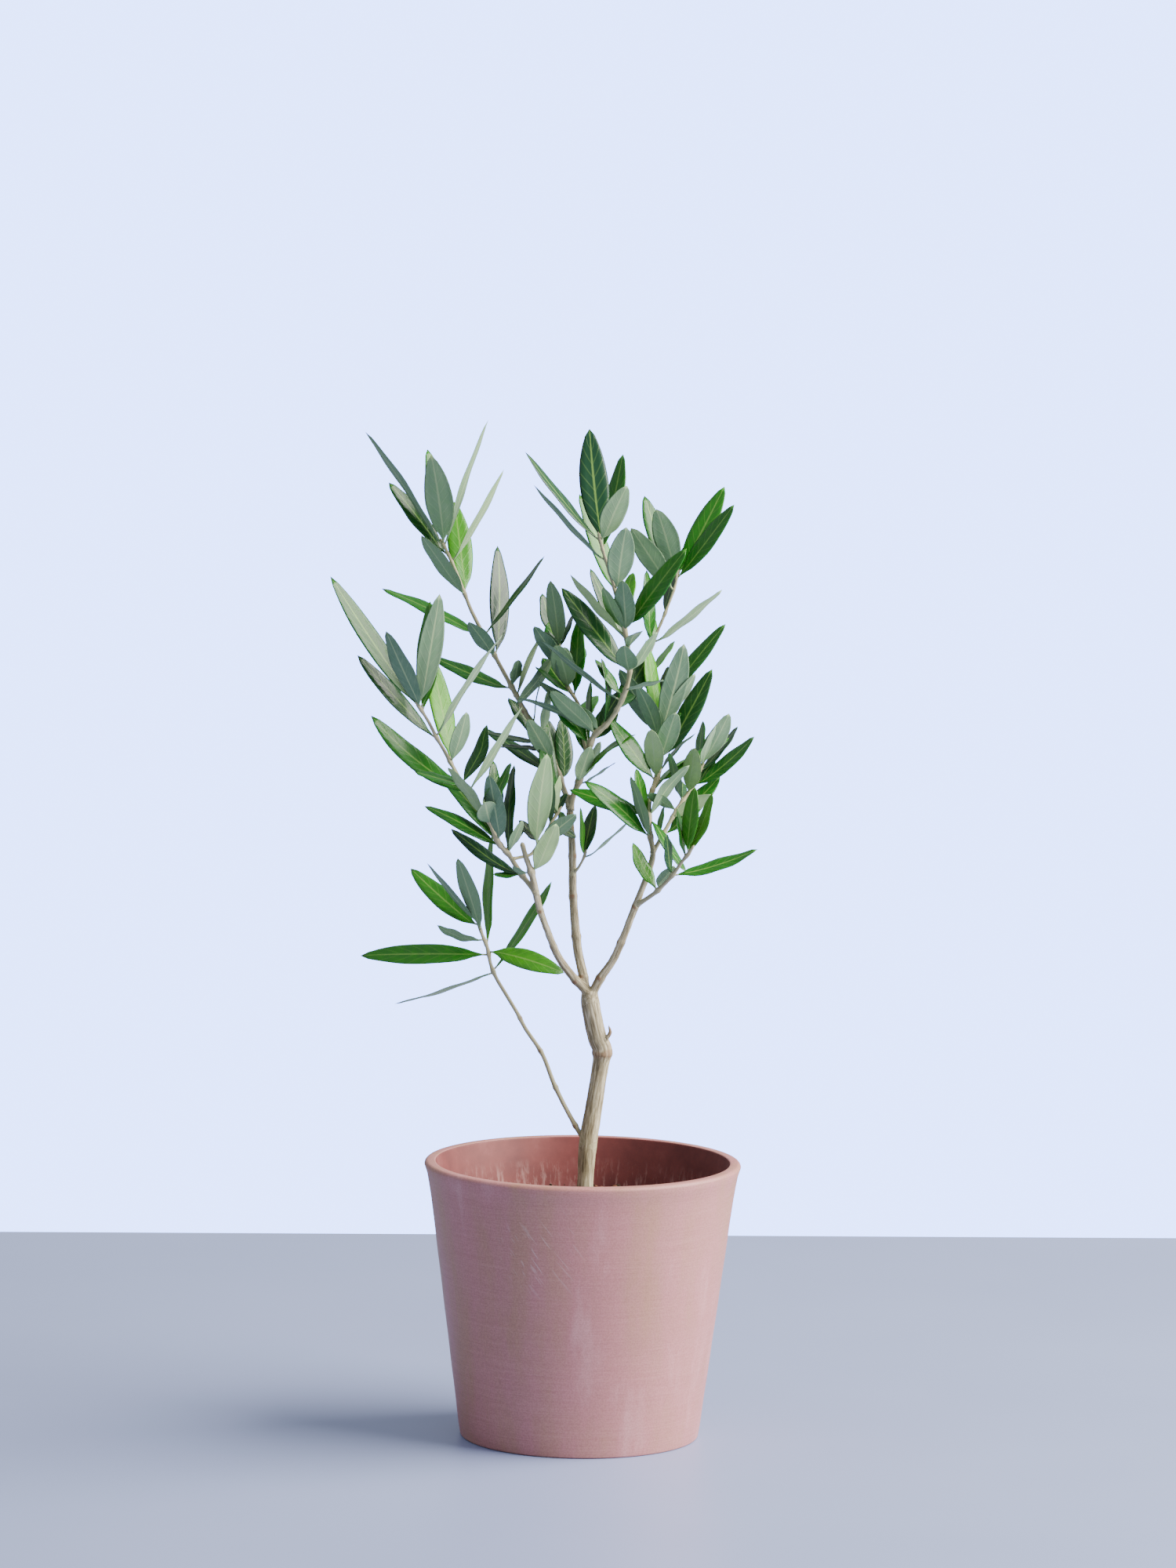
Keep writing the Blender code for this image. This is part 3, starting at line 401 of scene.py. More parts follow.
# %% Soil materials
soil_dark, soil_shader = new_material("composted_bark_soil", Roughness=0.93, IOR=1.4)
place = add_node(soil_dark, "ShaderNodeTexCoord").outputs["Object"]
crumbs = add_node(soil_dark, "ShaderNodeTexVoronoi", {"Vector": place, "Scale": 1 / (2.2 * MM)})
soil_noise = add_node(soil_dark, "ShaderNodeTexNoise", {"Vector": place, "Scale": 1 / (6 * MM), "Detail": 5.0})
soil_tone = add_node(
    soil_dark, "ShaderNodeValToRGB", {"Fac": soil_noise.outputs["Fac"]},
    stops=((0.3, "#1d1611"), (0.55, "#33271e"), (0.75, "#4d3c2e")),
)
soil_bump = add_node(
    soil_dark, "ShaderNodeBump", {"Height": crumbs.outputs["Distance"], "Strength": 0.8, "Distance": 0.8 * MM}
)
soil_dark.node_tree.links.new(soil_tone.outputs["Color"], soil_shader.inputs["Base Color"])
soil_dark.node_tree.links.new(soil_bump.outputs["Normal"], soil_shader.inputs["Normal"])


def crumb_material(name, dark, light, roughness):
    """A crumb's colour, mottled at half a millimetre, with a pitted surface."""
    material, shader = new_material(name, Roughness=roughness, IOR=1.45)
    where = add_node(material, "ShaderNodeTexCoord").outputs["Object"]
    mottle = add_node(material, "ShaderNodeTexNoise", {"Vector": where, "Scale": 1 / (1.5 * MM), "Detail": 3.0})
    tone = add_node(material, "ShaderNodeValToRGB", {"Fac": mottle.outputs["Fac"]}, stops=((0.3, dark), (0.7, light)))
    pits = add_node(
        material, "ShaderNodeBump", {"Height": mottle.outputs["Fac"], "Strength": 0.5, "Distance": 0.3 * MM}
    )
    material.node_tree.links.new(tone.outputs["Color"], shader.inputs["Base Color"])
    material.node_tree.links.new(pits.outputs["Normal"], shader.inputs["Normal"])
    return material


crumb_materials = [
    crumb_material("bark_crumb", "#20160f", "#46321f", 0.88),
    crumb_material("pumice_grit", "#8a8070", "#b5ab98", 0.9),
    crumb_material("baked_clay_grit", "#6e4530", "#94654a", 0.9),
]

# %% Soil bed and crumbs
SOIL_TOP = 131.0
SOIL_CROWN = 1.0
GAP = 0.6
bed = [(0, FLOOR + 0.3)]
bed += [(outer_radius(level) - WALL - GAP, level) for level in (FLOOR + 3.4, 40, 80, SOIL_TOP - 2)]
edge_radius = bed[-1][0]
bed += [(edge_radius - 2 * step, SOIL_TOP - 0.8 + SOIL_CROWN * step / 39) for step in range(1, 40)]
bed.append((0, SOIL_TOP + 0.2))
bm = spun(bed, 96)
for vert in bm.verts:
    if vert.co.z > (SOIL_TOP - 1.5) * MM:
        lumps = noise.noise(vert.co / (9 * MM)) + 0.6 * noise.noise(vert.co / (3.2 * MM))
        vert.co.z += 0.9 * MM * (lumps - 0.55)
shown_piece(bm, "soil_bed", [soil_dark], "soil", "soil")

random.seed(11)
bm = bmesh.new()
for crumb in range(620):
    reach = edge_radius * 0.985 * math.sqrt(random.random())
    turn = random.uniform(0, math.tau)
    size = random.choice((0.7, 0.9, 1.1, 1.4, 1.9)) * random.uniform(0.8, 1.25)
    reach = min(reach, edge_radius - size - 0.4)
    spot = Vector((reach * math.cos(turn), reach * math.sin(turn), SOIL_TOP - 0.35 + 0.25 * size))
    made = bmesh.ops.create_icosphere(bm, subdivisions=1, radius=size * MM)["verts"]
    for vert in made:
        vert.co *= 1 + 0.28 * noise.noise(vert.co / (0.8 * MM) + Vector((crumb, 0, 0)))
    shape = Matrix.Diagonal((1.0, random.uniform(0.6, 0.95), random.uniform(0.45, 0.8))).to_4x4()
    tilt = Matrix.Rotation(random.uniform(0, math.tau), 4, "Z") @ Matrix.Rotation(random.uniform(-0.5, 0.5), 4, "X")
    bmesh.ops.transform(bm, matrix=Matrix.Translation(spot * MM) @ tilt @ shape, verts=made)
    kind = random.choices((0, 1, 2), weights=(78, 9, 13))[0]
    for face in {face for vert in made for face in vert.link_faces}:
        face.material_index = kind
print("soil crumbs:", len(bm.faces), "faces")
shown_piece(bm, "soil_crumbs", crumb_materials, "soil")

# %% [markdown]
# ## Routes of the wood
# Each stem is a short list of points, read off a front elevation, and a depth for each. A
# smooth curve goes through them. A point of the elevation slides along its line of sight to its depth, so the
# tree keeps its outline from the front whatever its depth.

# %% Stem routes
EYE = Vector((0.0, -4000.0, 850.0))

# name: points of (x, depth, z, radius) in mm, from its base to its tip
ROUTES = {
    "trunk": (
        (1.2, 0, 98, 7.4), (1.4, 0, 112, 6.8), (1.6, 0, 128, 5.2), (1.7, 0, 147, 4.6), (2.8, 1, 168, 5.2),
        (5.0, 2, 183, 5.1), (8.5, 3, 207, 4.7), (9.9, 3, 216.5, 5.1), (10.2, 3, 219.5, 6.1),
        (9.8, 3, 223.5, 5.6), (7.3, 2, 229, 5.5), (4.7, 1, 240, 5.4), (2.8, 0, 250, 5.3), (3.0, 0, 256, 4.4),
    ),
    "centre_limb": (
        (2.6, 0, 250, 2.9), (-0.2, 1, 258, 2.9), (-1.6, 3, 266, 2.8), (-4.0, 6, 276.5, 2.7),
        (-5.4, 8, 286, 2.6), (-7.6, 12, 310, 2.4), (-8.3, 15, 334, 2.2), (-9.6, 17, 353, 2.0),
        (-10.5, 18, 367, 1.8),
    ),
    "left_limb": (
        (3.0, 0, 252, 2.4), (-1.4, -1.5, 257.5, 2.4), (-7.4, -3.5, 264, 2.4), (-15.5, -7, 275, 2.2),
        (-21.7, -10, 289.5, 2.0), (-26.6, -12, 303, 1.9), (-29.2, -14, 314, 2.1), (-31.7, -16, 324, 1.8),
        (-34.7, -18, 332, 1.6), (-36.7, -19, 339, 1.5),
    ),
    "right_limb": (
        (3.2, 0, 251, 2.6), (6.0, -1, 258, 2.6), (9.2, -2, 264, 2.5), (15.3, -4, 273, 2.3),
        (19.8, -6, 283, 2.2), (24.4, -7, 295, 2.1), (29.0, -8, 308, 2.0), (32.6, -8, 317.5, 1.8),
        (36.4, -8, 329, 1.7), (37.3, -8, 336, 1.7), (35.7, -6, 344, 1.5), (34.6, -3, 355, 1.4),
        (35.4, 1, 367, 1.35), (38.6, 5, 377, 1.3), (40.4, 8, 386, 1.25), (40.2, 12, 401, 1.2),
        (38.3, 19, 427, 1.1), (33.9, 24, 444, 1.0), (35.7, 27, 454.5, 0.95), (42.8, 31, 473, 0.9),
        (47.7, 34, 487.5, 0.85), (48.4, 35, 498, 0.8),
    ),
    "low_shoot": (
        (3.4, 1, 167, 1.5), (-1.3, 2, 173, 1.4), (-9.4, 4, 187, 1.3), (-16.9, 7, 202, 1.3),
        (-23.8, 10, 219, 1.2), (-33.2, 13, 233, 1.15), (-38.1, 14, 242, 1.1), (-44.2, 16, 252, 1.1),
        (-50.3, 17, 262, 1.05), (-53.7, 18, 270, 1.0), (-55.6, 19, 279, 0.95), (-59.1, 20, 288, 0.9),
        (-61.7, 21, 296, 0.8),
    ),
    "left_arm_shoot": (
        (-28.6, -14, 311.5, 1.5), (-31.5, -13, 315, 1.45), (-35.6, -11, 320, 1.4), (-40.4, -10, 327, 1.4),
        (-44.3, -12, 333, 1.35), (-50.4, -16, 340, 1.3), (-56.4, -21, 353.5, 1.25), (-63.4, -25, 364, 1.2),
        (-70.3, -28, 372, 1.15), (-76.4, -31, 382.5, 1.1), (-81.7, -33, 392, 1.0), (-85.9, -34, 399, 0.95),
        (-90.6, -35, 408, 0.9), (-97.0, -36, 418, 0.8),
    ),
    "stub_twig": (
        (-42.6, -11, 330.3, 0.95), (-38.5, -8, 331.3, 0.9), (-31.6, -7, 333.3, 0.9), (-27.0, -5, 339.5, 0.85),
        (-23.4, -3, 346, 0.8), (-18.8, 0, 354, 0.75), (-15.5, 2, 359.5, 0.7),
    ),
    "centre_side_twig": (
        (-8.0, 13.5, 322, 0.85), (-4.8, 11, 326, 0.75), (-2.1, 9, 331, 0.7), (-0.8, 8, 335, 0.6),
    ),
    "top_centre_shoot": (
        (-9.9, 17.4, 359, 1.7), (-8.2, 16, 367, 1.6), (-4.9, 14, 376, 1.55), (-1.0, 11, 389, 1.5),
        (2.9, 8, 401, 1.45), (11.0, 4, 409, 1.4), (18.0, 0, 421, 1.3), (22.6, -5, 438, 1.2),
        (19.7, -11, 461, 1.1), (16.4, -14, 473, 1.0), (13.6, -17, 484, 0.95), (7.1, -22, 504, 0.85),
        (4.1, -25, 515, 0.8),
    ),
    "upper_left_shoot": (
        (-10.1, 17.6, 361, 1.7), (-13.8, 20, 371, 1.6), (-22.4, 24, 392, 1.5), (-33.7, 28, 410, 1.4),
        (-41.9, 31, 425, 1.3), (-50.9, 33, 441, 1.2), (-65.5, 36, 468, 1.1), (-70.3, 37, 479, 1.0),
        (-77.0, 38, 495.5, 0.9), (-84.6, 39, 511, 0.8),
    ),
    "middle_twig": (
        (-1.0, 11, 389, 1.0), (-3.4, 14, 401, 0.95), (-5.9, 18, 418, 0.9), (-12.2, 22, 429, 0.85),
        (-16.0, 25, 441, 0.8), (-17.9, 27, 455, 0.7),
    ),
    "right_outer_twig": (
        (36.9, -8, 334.5, 1.2), (42.0, -5, 344, 1.15), (50.4, 2, 360, 1.05), (55.1, 6, 367, 1.0),
        (59.8, 10, 374, 0.9), (62.6, 13, 381, 0.8), (65.0, 15, 387, 0.7),
    ),
    "right_low_twig": (
        (28.4, -8, 305.0, 1.3), (32.2, -11, 307.5, 1.25), (38.5, -17, 312, 1.2), (44.2, -22, 317.5, 1.1),
        (49.0, -26, 323, 1.05), (53.6, -30, 330, 0.95), (57.5, -33, 335, 0.85), (60.0, -35, 339, 0.8),
    ),
}
DEAD_STUB = ((8.5, 0, 224, 1.6), (12.4, -1, 228.5, 1.3), (14.6, -1.5, 232, 1.1), (13.8, -1.5, 235.5, 0.7))
STEP = 1.5  # mm between the rings of a stem


def curve_through(points, steps):
    """Points on a curve through all the given vectors (Catmull-Rom)."""
    knots = [2 * points[0] - points[1]] + points + [2 * points[-1] - points[-2]]
    curve = []
    for a, b, c, d in zip(knots, knots[1:], knots[2:], knots[3:]):
        for t in [step / steps for step in range(steps)]:
            curve.append(
                0.5 * (2 * b + (c - a) * t + (2 * a - 5 * b + 4 * c - d) * t**2 + (3 * b - a - 3 * c + d) * t**3)
            )
    curve.append(knots[-2])
    return curve


class Stem:
    """A smooth stem: evenly spaced centres, each with its tangent, side direction and radius, in mm."""

    def __init__(self, route):
        fine = curve_through([Vector(point) for point in route], 24)
        places = [EYE + (Vector((p.x, 0, p.z)) - EYE) * (p.y - EYE.y) / -EYE.y for p in fine]
        self.centres, self.radii, walked = [places[0]], [fine[0][3]], 0.0
        for before, place, point in zip(places, places[1:], fine[1:]):
            walked += (place - before).length
            if walked >= STEP * len(self.centres):
                self.centres.append(place)
                self.radii.append(point[3])
        self.tangents, self.sides = [], []
        side = Vector((0, 1, 0))
        for i in range(len(self.centres)):
            ahead, behind = self.centres[min(i + 1, len(self.centres) - 1)], self.centres[max(i - 1, 0)]
            self.tangents.append((ahead - behind).normalized())
            side = (side - side.dot(self.tangents[-1]) * self.tangents[-1]).normalized()
            self.sides.append(side.copy())
        self.swellings = []  # (ring number, how much wider)


stems = {name: Stem(route) for name, route in ROUTES.items()}
stem_points = KDTree(sum(len(stem.centres) for stem in stems.values()))
stem_rings = []
for name, stem in stems.items():
    for i, centre in enumerate(stem.centres):
        stem_points.insert(centre, len(stem_rings))
        stem_rings.append((name, i))
stem_points.balance()
print("stems:", len(stems), "with", len(stem_rings), "rings")

# %% [markdown]
# ## Reading the leaves back
# The CAD leaf sets know where every leaf is: each leaf is a few rings of four points that run out to one tip
# point. So a leaf is found from its tip: the four points next to it are the last ring, the four next to those
# the ring before, and so on back to the stalk. A copy of the node's mesh is merged first, because its
# triangles are loose.

# %% Find the CAD leaves
LONG_SHARES = (0.84, 0.6, 0.33, 0.1)  # where a long leaf's rings are, as shares of its length, from the tip
SHORT_SHARES = (0.8, 0.46, 0.14)
RING_RATIO = 1.6  # the second ring is 1.5 times as far from the first as that from the tip, or 1.7 if short
STALK_SHARE = 0.07
TIP_POINTEDNESS = 0.8  # how nearly the four edges at a tip run the same way, 1 being quite
CAD_RIB = 0.3  # mm that the CAD leaf's upper midrib stands off its centre line


def outline(share):
    """Half width of the blade at a share of the leaf's length, over the widest half width."""
    blade = min(1.0, max(0.0, (share - STALK_SHARE) / (1 - STALK_SHARE)))
    return max(0.0, math.sin(math.pi * blade**0.88)) ** 0.75


def next_ring(ring, seen):
    return {edge.other_vert(vert) for vert in ring for edge in vert.link_edges} - seen


def ring_frame(ring):
    """Centre, upward and sideways directions and half width of a CAD leaf's ring, in mm."""
    points = [vert.co / MM for vert in ring]
    pairs = [(a, b) for i, a in enumerate(points) for b in points[i + 1:]]
    left, right = max(pairs, key=lambda pair: (pair[0] - pair[1]).length)
    upper, lower = sorted((p for p in points if p is not left and p is not right), key=lambda p: (
        p - (left + right) / 2).length)
    up = (upper - lower).normalized()
    across = (right - left) - (right - left).dot(up) * up
    return upper - CAD_RIB * up, up, across.normalized(), across.length / 2


def cad_leaves(node):
    """Every leaf of a set as (tip, its rings' frames from the tip back, their shares)."""
    bm = bmesh.new()
    bm.from_mesh(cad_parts[node].data)
    bmesh.ops.remove_doubles(bm, verts=bm.verts, dist=0.002 * MM)
    bm.verts.ensure_lookup_table()
    found = []
    for tip in bm.verts:
        rays = [(edge.other_vert(tip).co - tip.co).normalized() for edge in tip.link_edges]
        if len(rays) != 4 or sum(rays, Vector()).length < TIP_POINTEDNESS * 4:
            continue
        rings, seen = [{tip}], {tip}
        while len(rings) < 5:
            ring = next_ring(rings[-1], seen)
            if len(ring) != 4:
                break
            rings.append(ring)
            seen |= ring
        if len(rings) < 3:
            continue
        middles = [sum((vert.co for vert in ring), Vector()) / len(ring) for ring in rings]
        ratio = (middles[2] - middles[1]).length / (middles[1] - middles[0]).length
        shares = LONG_SHARES if ratio < RING_RATIO else SHORT_SHARES
        frames = []
        for ring in rings[1:len(shares) + 1]:
            middle, up, across, half = ring_frame(ring)
            out = tip.co / MM - middle
            frames.append((middle, up, across if across.dot(out.cross(up)) > 0 else -across, half))
        found.append((tip.co / MM, frames, shares[:len(frames)]))
    bm.free()
    return found


leaf_nodes = sorted(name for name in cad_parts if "leaves" in name)
leaves_of = {name: cad_leaves(name) for name in leaf_nodes}
print("leaves found:", sum(len(leaves) for leaves in leaves_of.values()), "in", len(leaf_nodes), "sets")

# %% [markdown]
# ## Leaf skin
# An olive leaf is two materials. Above, a thick waxy skin: deep green, glossy, with a pale midrib. Below, a
# felt of tiny silver scales: matt, grey-green, with a raised pale rib. Each leaf has its own tone, kept as an
# attribute on its points, from blue-green old leaves to fresh yellow-green ones. The rib and the side veins
# follow the leaf's own UV map: U runs across it and V from stalk to tip.

# %% Leaf materials
RIB_HALF_WIDTH = 0.05  # of the leaf's width
VEIN_PAIRS = 9


def vein_pattern(material):
    """The rib's share, from the middle out, and faint side veins that slant to the tip, as sockets."""
    u_v = add_node(material, "ShaderNodeUVMap", uv_map="blade").outputs["UV"]
    parts = add_node(material, "ShaderNodeSeparateXYZ", {"Vector": u_v})
    centred = add_node(material, "ShaderNodeMath", {0: parts.outputs["X"], 1: 0.5}, operation="SUBTRACT")
    off_rib = add_node(material, "ShaderNodeMath", {0: centred.outputs["Value"]}, operation="ABSOLUTE")
    rib = add_node(
        material, "ShaderNodeMapRange",
        {"Value": off_rib.outputs["Value"], "From Min": RIB_HALF_WIDTH, "From Max": 0.4 * RIB_HALF_WIDTH},
    )
    slant = add_node(
        material, "ShaderNodeMath", {0: off_rib.outputs["Value"], 1: -0.35, 2: parts.outputs["Y"]},
        operation="MULTIPLY_ADD",
    )
    turns = add_node(
        material, "ShaderNodeMath", {0: slant.outputs["Value"], 1: VEIN_PAIRS * math.tau}, operation="MULTIPLY"
    )
    wave = add_node(material, "ShaderNodeMath", {0: turns.outputs["Value"]}, operation="SINE")
    vein = add_node(material, "ShaderNodeMapRange", {"Value": wave.outputs["Value"], "From Min": 0.75, "From Max": 1.0})
    return rib.outputs["Result"], vein.outputs["Result"]


def leaf_material(name, tones, rib_colour, rib_share, vein_share, mottle_colour, mottle_share, **values):
    """A leaf side: its colour by the leaf's tone, mottled, with a pale rib and veins, and a soft relief."""
    material, shader = new_material(name, **values)
    rib, vein = vein_pattern(material)
    tone = add_node(material, "ShaderNodeAttribute", attribute_name="tone")
    base = add_node(material, "ShaderNodeValToRGB", {"Fac": tone.outputs["Fac"]}, stops=tones)
    where = add_node(material, "ShaderNodeTexCoord").outputs["Object"]
    mottle = add_node(material, "ShaderNodeTexNoise", {"Vector": where, "Scale": 1 / (5 * MM), "Detail": 4.0})
    share = add_node(
        material, "ShaderNodeMapRange",
        {"Value": mottle.outputs["Fac"], "From Min": 0.35, "From Max": 0.75, "To Max": mottle_share},
    )
    mottled = add_node(
        material, "ShaderNodeMix",
        {"Factor": share.outputs["Result"], MIX_A: base.outputs["Color"], MIX_B: mottle_colour}, data_type="RGBA",
    )
    vein_mix = add_node(material, "ShaderNodeMath", {0: vein, 1: vein_share}, operation="MULTIPLY")
    veined = add_node(
        material, "ShaderNodeMix",
        {"Factor": vein_mix.outputs["Value"], MIX_A: mottled.outputs[MIX_COLOUR], MIX_B: rib_colour},
        data_type="RGBA",
    )
    rib_mix = add_node(material, "ShaderNodeMath", {0: rib, 1: rib_share}, operation="MULTIPLY")
    ribbed = add_node(
        material, "ShaderNodeMix",
        {"Factor": rib_mix.outputs["Value"], MIX_A: veined.outputs[MIX_COLOUR], MIX_B: rib_colour}, data_type="RGBA",
    )
    height = add_node(material, "ShaderNodeMath", {0: mottle.outputs["Fac"], 1: vein}, operation="ADD")
    bump = add_node(
        material, "ShaderNodeBump", {"Height": height.outputs["Value"], "Strength": 0.35, "Distance": 0.12 * MM}
    )
    material.node_tree.links.new(ribbed.outputs[MIX_COLOUR], shader.inputs["Base Color"])
    material.node_tree.links.new(bump.outputs["Normal"], shader.inputs["Normal"])
    return material


leaf_above = leaf_material(
    "waxy_olive_leaf_above", ((0.0, "#123c24"), (0.3, "#155016"), (0.65, "#22760c"), (1.0, "#55a512")),
    rib_colour="#86b050", rib_share=0.55, vein_share=0.12, mottle_colour="#1b3f26", mottle_share=0.35,
    Roughness=0.3, IOR=1.45,
)
leaf_below = leaf_material(
    "silver_scaled_olive_leaf_below", ((0.0, "#5a7d5c"), (0.4, "#70946a"), (0.75, "#86a970"), (1.0, "#a5c37c")),
    rib_colour="#a8c088", rib_share=0.7, vein_share=0.1, mottle_colour="#869c7c", mottle_share=0.4,
    Roughness=0.62, IOR=1.4, Sheen_Weight=0.15, Sheen_Roughness=0.4,
)
stalk_green, stalk_shader = new_material("young_olive_stalk", Roughness=0.55, IOR=1.4)
place = add_node(stalk_green, "ShaderNodeTexCoord").outputs["Object"]
stalk_noise = add_node(stalk_green, "ShaderNodeTexNoise", {"Vector": place, "Scale": 1 / (2 * MM), "Detail": 3.0})
stalk_tone = add_node(
    stalk_green, "ShaderNodeValToRGB", {"Fac": stalk_noise.outputs["Fac"]}, stops=((0.3, "#8f9f6e"), (0.7, "#b4bf92"))
)
stalk_green.node_tree.links.new(stalk_tone.outputs["Color"], stalk_shader.inputs["Base Color"])

# %% [markdown]
# ## Leaves
# A leaf is thin, but it is not a card: the blade is folded along its rib, its margins roll down a little, the
# rib stands proud below, and the stalk is round. So a leaf is made as a flattened tube. A cylinder without
# ends gives twelve points round and a ring for each step along; each ring is then pressed to the leaf's
# section at that place, between the CAD leaf's own rings. The tube closes at the tip, and its stalk runs on
# into the stem that it grew from.

# %% Build the leaves
AROUND = 12
ALONG = 16
BLADE_HALF_THICKNESS = 0.2
STALK_RADIUS = 0.55
FOLD = 0.16
ROLL_DOWN = 0.14
FULLER = 1.1  # a real blade swells out past the CAD leaf's straight edges
LEAF_SEED = 5


def blend_frames(places, share):
    """Centre, up and across at a share of the leaf's length, between known places on it."""
    for (low, *a), (high, *b) in zip(places, places[1:]):
        if share <= high:
            t = (share - low) / (high - low)
            return a[0].lerp(b[0], t), a[1].lerp(b[1], t).normalized(), a[2].lerp(b[2], t).normalized()
    return places[-1][1:]


def leaf_places(tip, frames, shares):
    """The leaf's centre line from inside its stem to its tip, smoothed, and where it joins the stem."""
    inner, following = frames[-1][0], frames[-2][0]
    run = shares[-1] / (shares[-2] - shares[-1])
    guess = inner - (following - inner) * min(run, 1.2)
    _, number, _ = stem_points.find(guess)
    name, ring_number = stem_rings[number]
    stem = stems[name]
    out = guess - stem.centres[ring_number]
    out = (out - out.dot(stem.tangents[ring_number]) * stem.tangents[ring_number]).normalized()
    start = stem.centres[ring_number] + 0.5 * stem.radii[ring_number] * out
    stem.swellings.append((ring_number, 0.35))
    knots = [start] + [middle for middle, *_ in frames[::-1]] + [tip]
    levels = [0.0] + list(shares[::-1]) + [1.0]
    ups = [frames[-1][1]] + [up for _, up, *_ in frames[::-1]] + [frames[0][1]]
    acrosses = [frames[-1][2]] + [across for _, _, across, _ in frames[::-1]] + [frames[0][2]]
    curve = curve_through(knots, 4)
    places = []
    for i, point in enumerate(curve):
        span, part = divmod(i, 4)
        span, t = (span, part / 4) if span < len(knots) - 1 else (span - 1, 1.0)
        level = levels[span] + t * (levels[span + 1] - levels[span])
        up = ups[span].lerp(ups[span + 1], smoothstep(0, 1, t))
        across = acrosses[span].lerp(acrosses[span + 1], smoothstep(0, 1, t))
        places.append((level, point, up.normalized(), across.normalized()))
    return places


def add_leaf(bm, leaf, layers, draw):
    """One leaf as a flattened tube, shaped from its CAD rings; draw gives its own small differences."""
    tip, frames, shares = leaf
    uv_layer, tone_layer = layers
    places = leaf_places(tip, frames, shares)
    widest = FULLER * max(frame_half / max(outline(share), 0.3) for (*_, frame_half), share in zip(frames, shares))
    tone = min(1.0, max(0.0, draw.gauss(0.46, 0.28)))
    ripple, phase = draw.uniform(0.1, 0.4), draw.uniform(0, math.tau)
    rings = []
    for step in range(ALONG):
        share = (step / ALONG) ** 1.1
        centre, up, across = blend_frames(places, share)
        half = STALK_RADIUS + max(0.0, widest - STALK_RADIUS) * outline(share)
        stalk = 1 - smoothstep(0.03, 0.2, share)
        thick = BLADE_HALF_THICKNESS * (1 - stalk) + STALK_RADIUS * stalk
        turn = Matrix((across, up, across.cross(up))).transposed().to_4x4()
        made = bmesh.ops.create_circle(
            bm, cap_ends=False, segments=AROUND, radius=1.0, matrix=Matrix.Rotation(-math.tau / 4, 4, "Z")
        )["verts"]  # the circle starts at +Y, and a quarter turn back starts it at the leaf's edge
        for vert in made:
            x, z = vert.co.x, vert.co.y
            side = abs(x)
            rise = FOLD * max(0.0, half - STALK_RADIUS) * side - ROLL_DOWN * (half - STALK_RADIUS) * side**5
            rise += ripple * side * math.sin(2.4 * math.tau * share + phase + (1.3 if x > 0 else 0)) * (1 - stalk)
            body = thick * z
            if side < 0.1:
                body += 0.22 * (1 - stalk) * (1 - share) * (-1 if z < 0 else -0.7)
            vert.co = (centre + turn.to_3x3() @ Vector((half * x, rise + body, 0))) * MM
        rings.append(made)
    end = bm.verts.new(tip * MM)
    for ring_number, (ring, following) in enumerate(zip(rings, rings[1:] + [None])):
        for j in range(AROUND):
            k = (j + 1) % AROUND
            corners = (ring[j], ring[k], following[k], following[j]) if following else (ring[j], ring[k], end)
            face = bm.faces.new(corners)
            upper = j < AROUND // 2
            face.material_index = 2 if ring_number < 1 else (0 if upper else 1)
            low, high = ring_number / ALONG, (ring_number + 1) / ALONG
            columns = [0.5 + 0.5 * math.cos(math.tau * column / AROUND) for column in (j, j + 1, j + 1, j)]
            levels = (low, low, high, high)
            if not following:
                columns, levels = columns[:2] + [0.5], (low, low, 1.0)
            for loop, column, level in zip(face.loops, columns, levels):
                loop[uv_layer].uv = (column, level)
    bm.faces.new(rings[0][::-1]).material_index = 2
    for vert in [v for ring in rings for v in ring] + [end]:
        vert[tone_layer] = tone


# stem: (how many inner leaves, from and to which share of its length)
INNER_LEAVES = {
    "top_centre_shoot": (9, 0.08, 0.72), "middle_twig": (5, 0.25, 0.9), "upper_left_shoot": (4, 0.1, 0.45),
    "right_limb": (8, 0.42, 0.85), "right_outer_twig": (3, 0.3, 0.8), "left_arm_shoot": (3, 0.3, 0.65),
    "stub_twig": (2, 0.4, 0.9),
}


def inner_leaf(stem, share, draw):
    """A small leaf between the CAD sets: its tip, two rings' frames and their shares, as the CAD leaves have."""
    i = int(share * (len(stem.centres) - 1))
    turn = draw.uniform(0, math.tau)
    tangent, side = stem.tangents[i], stem.sides[i]
    out = math.cos(turn) * side + math.sin(turn) * tangent.cross(side)
    chord = (out + draw.uniform(0.7, 1.5) * (0.6 * tangent + Vector((0, 0, 0.4)))).normalized()
    up = (tangent - tangent.dot(chord) * chord).normalized()
    across = chord.cross(up)
    length, half = draw.uniform(24, 40), draw.uniform(4.2, 5.8)
    base = stem.centres[i] + stem.radii[i] * out
    bow = draw.uniform(-0.05, 0.1) * length
    frames = [
        (base + level * length * chord + bow * math.sin(math.pi * level) * up, up, across, half * outline(level))
        for level in SHORT_SHARES
    ]
    return base + length * chord, frames, SHORT_SHARES


draw = random.Random(LEAF_SEED)
bm = bmesh.new()
layers = bm.loops.layers.uv.new("blade"), bm.verts.layers.float.new("tone")
for name, (count, low, high) in INNER_LEAVES.items():
    for number in range(count):
        share = low + (high - low) * (number + draw.uniform(0.2, 0.8)) / count
        add_leaf(bm, inner_leaf(stems[name], share, draw), layers, draw)
bmesh.ops.recalc_face_normals(bm, faces=bm.faces)
print("inner leaves:", sum(count for count, *_ in INNER_LEAVES.values()))
shown_piece(bm, "inner_leaves", [leaf_above, leaf_below, stalk_green], "leaf")

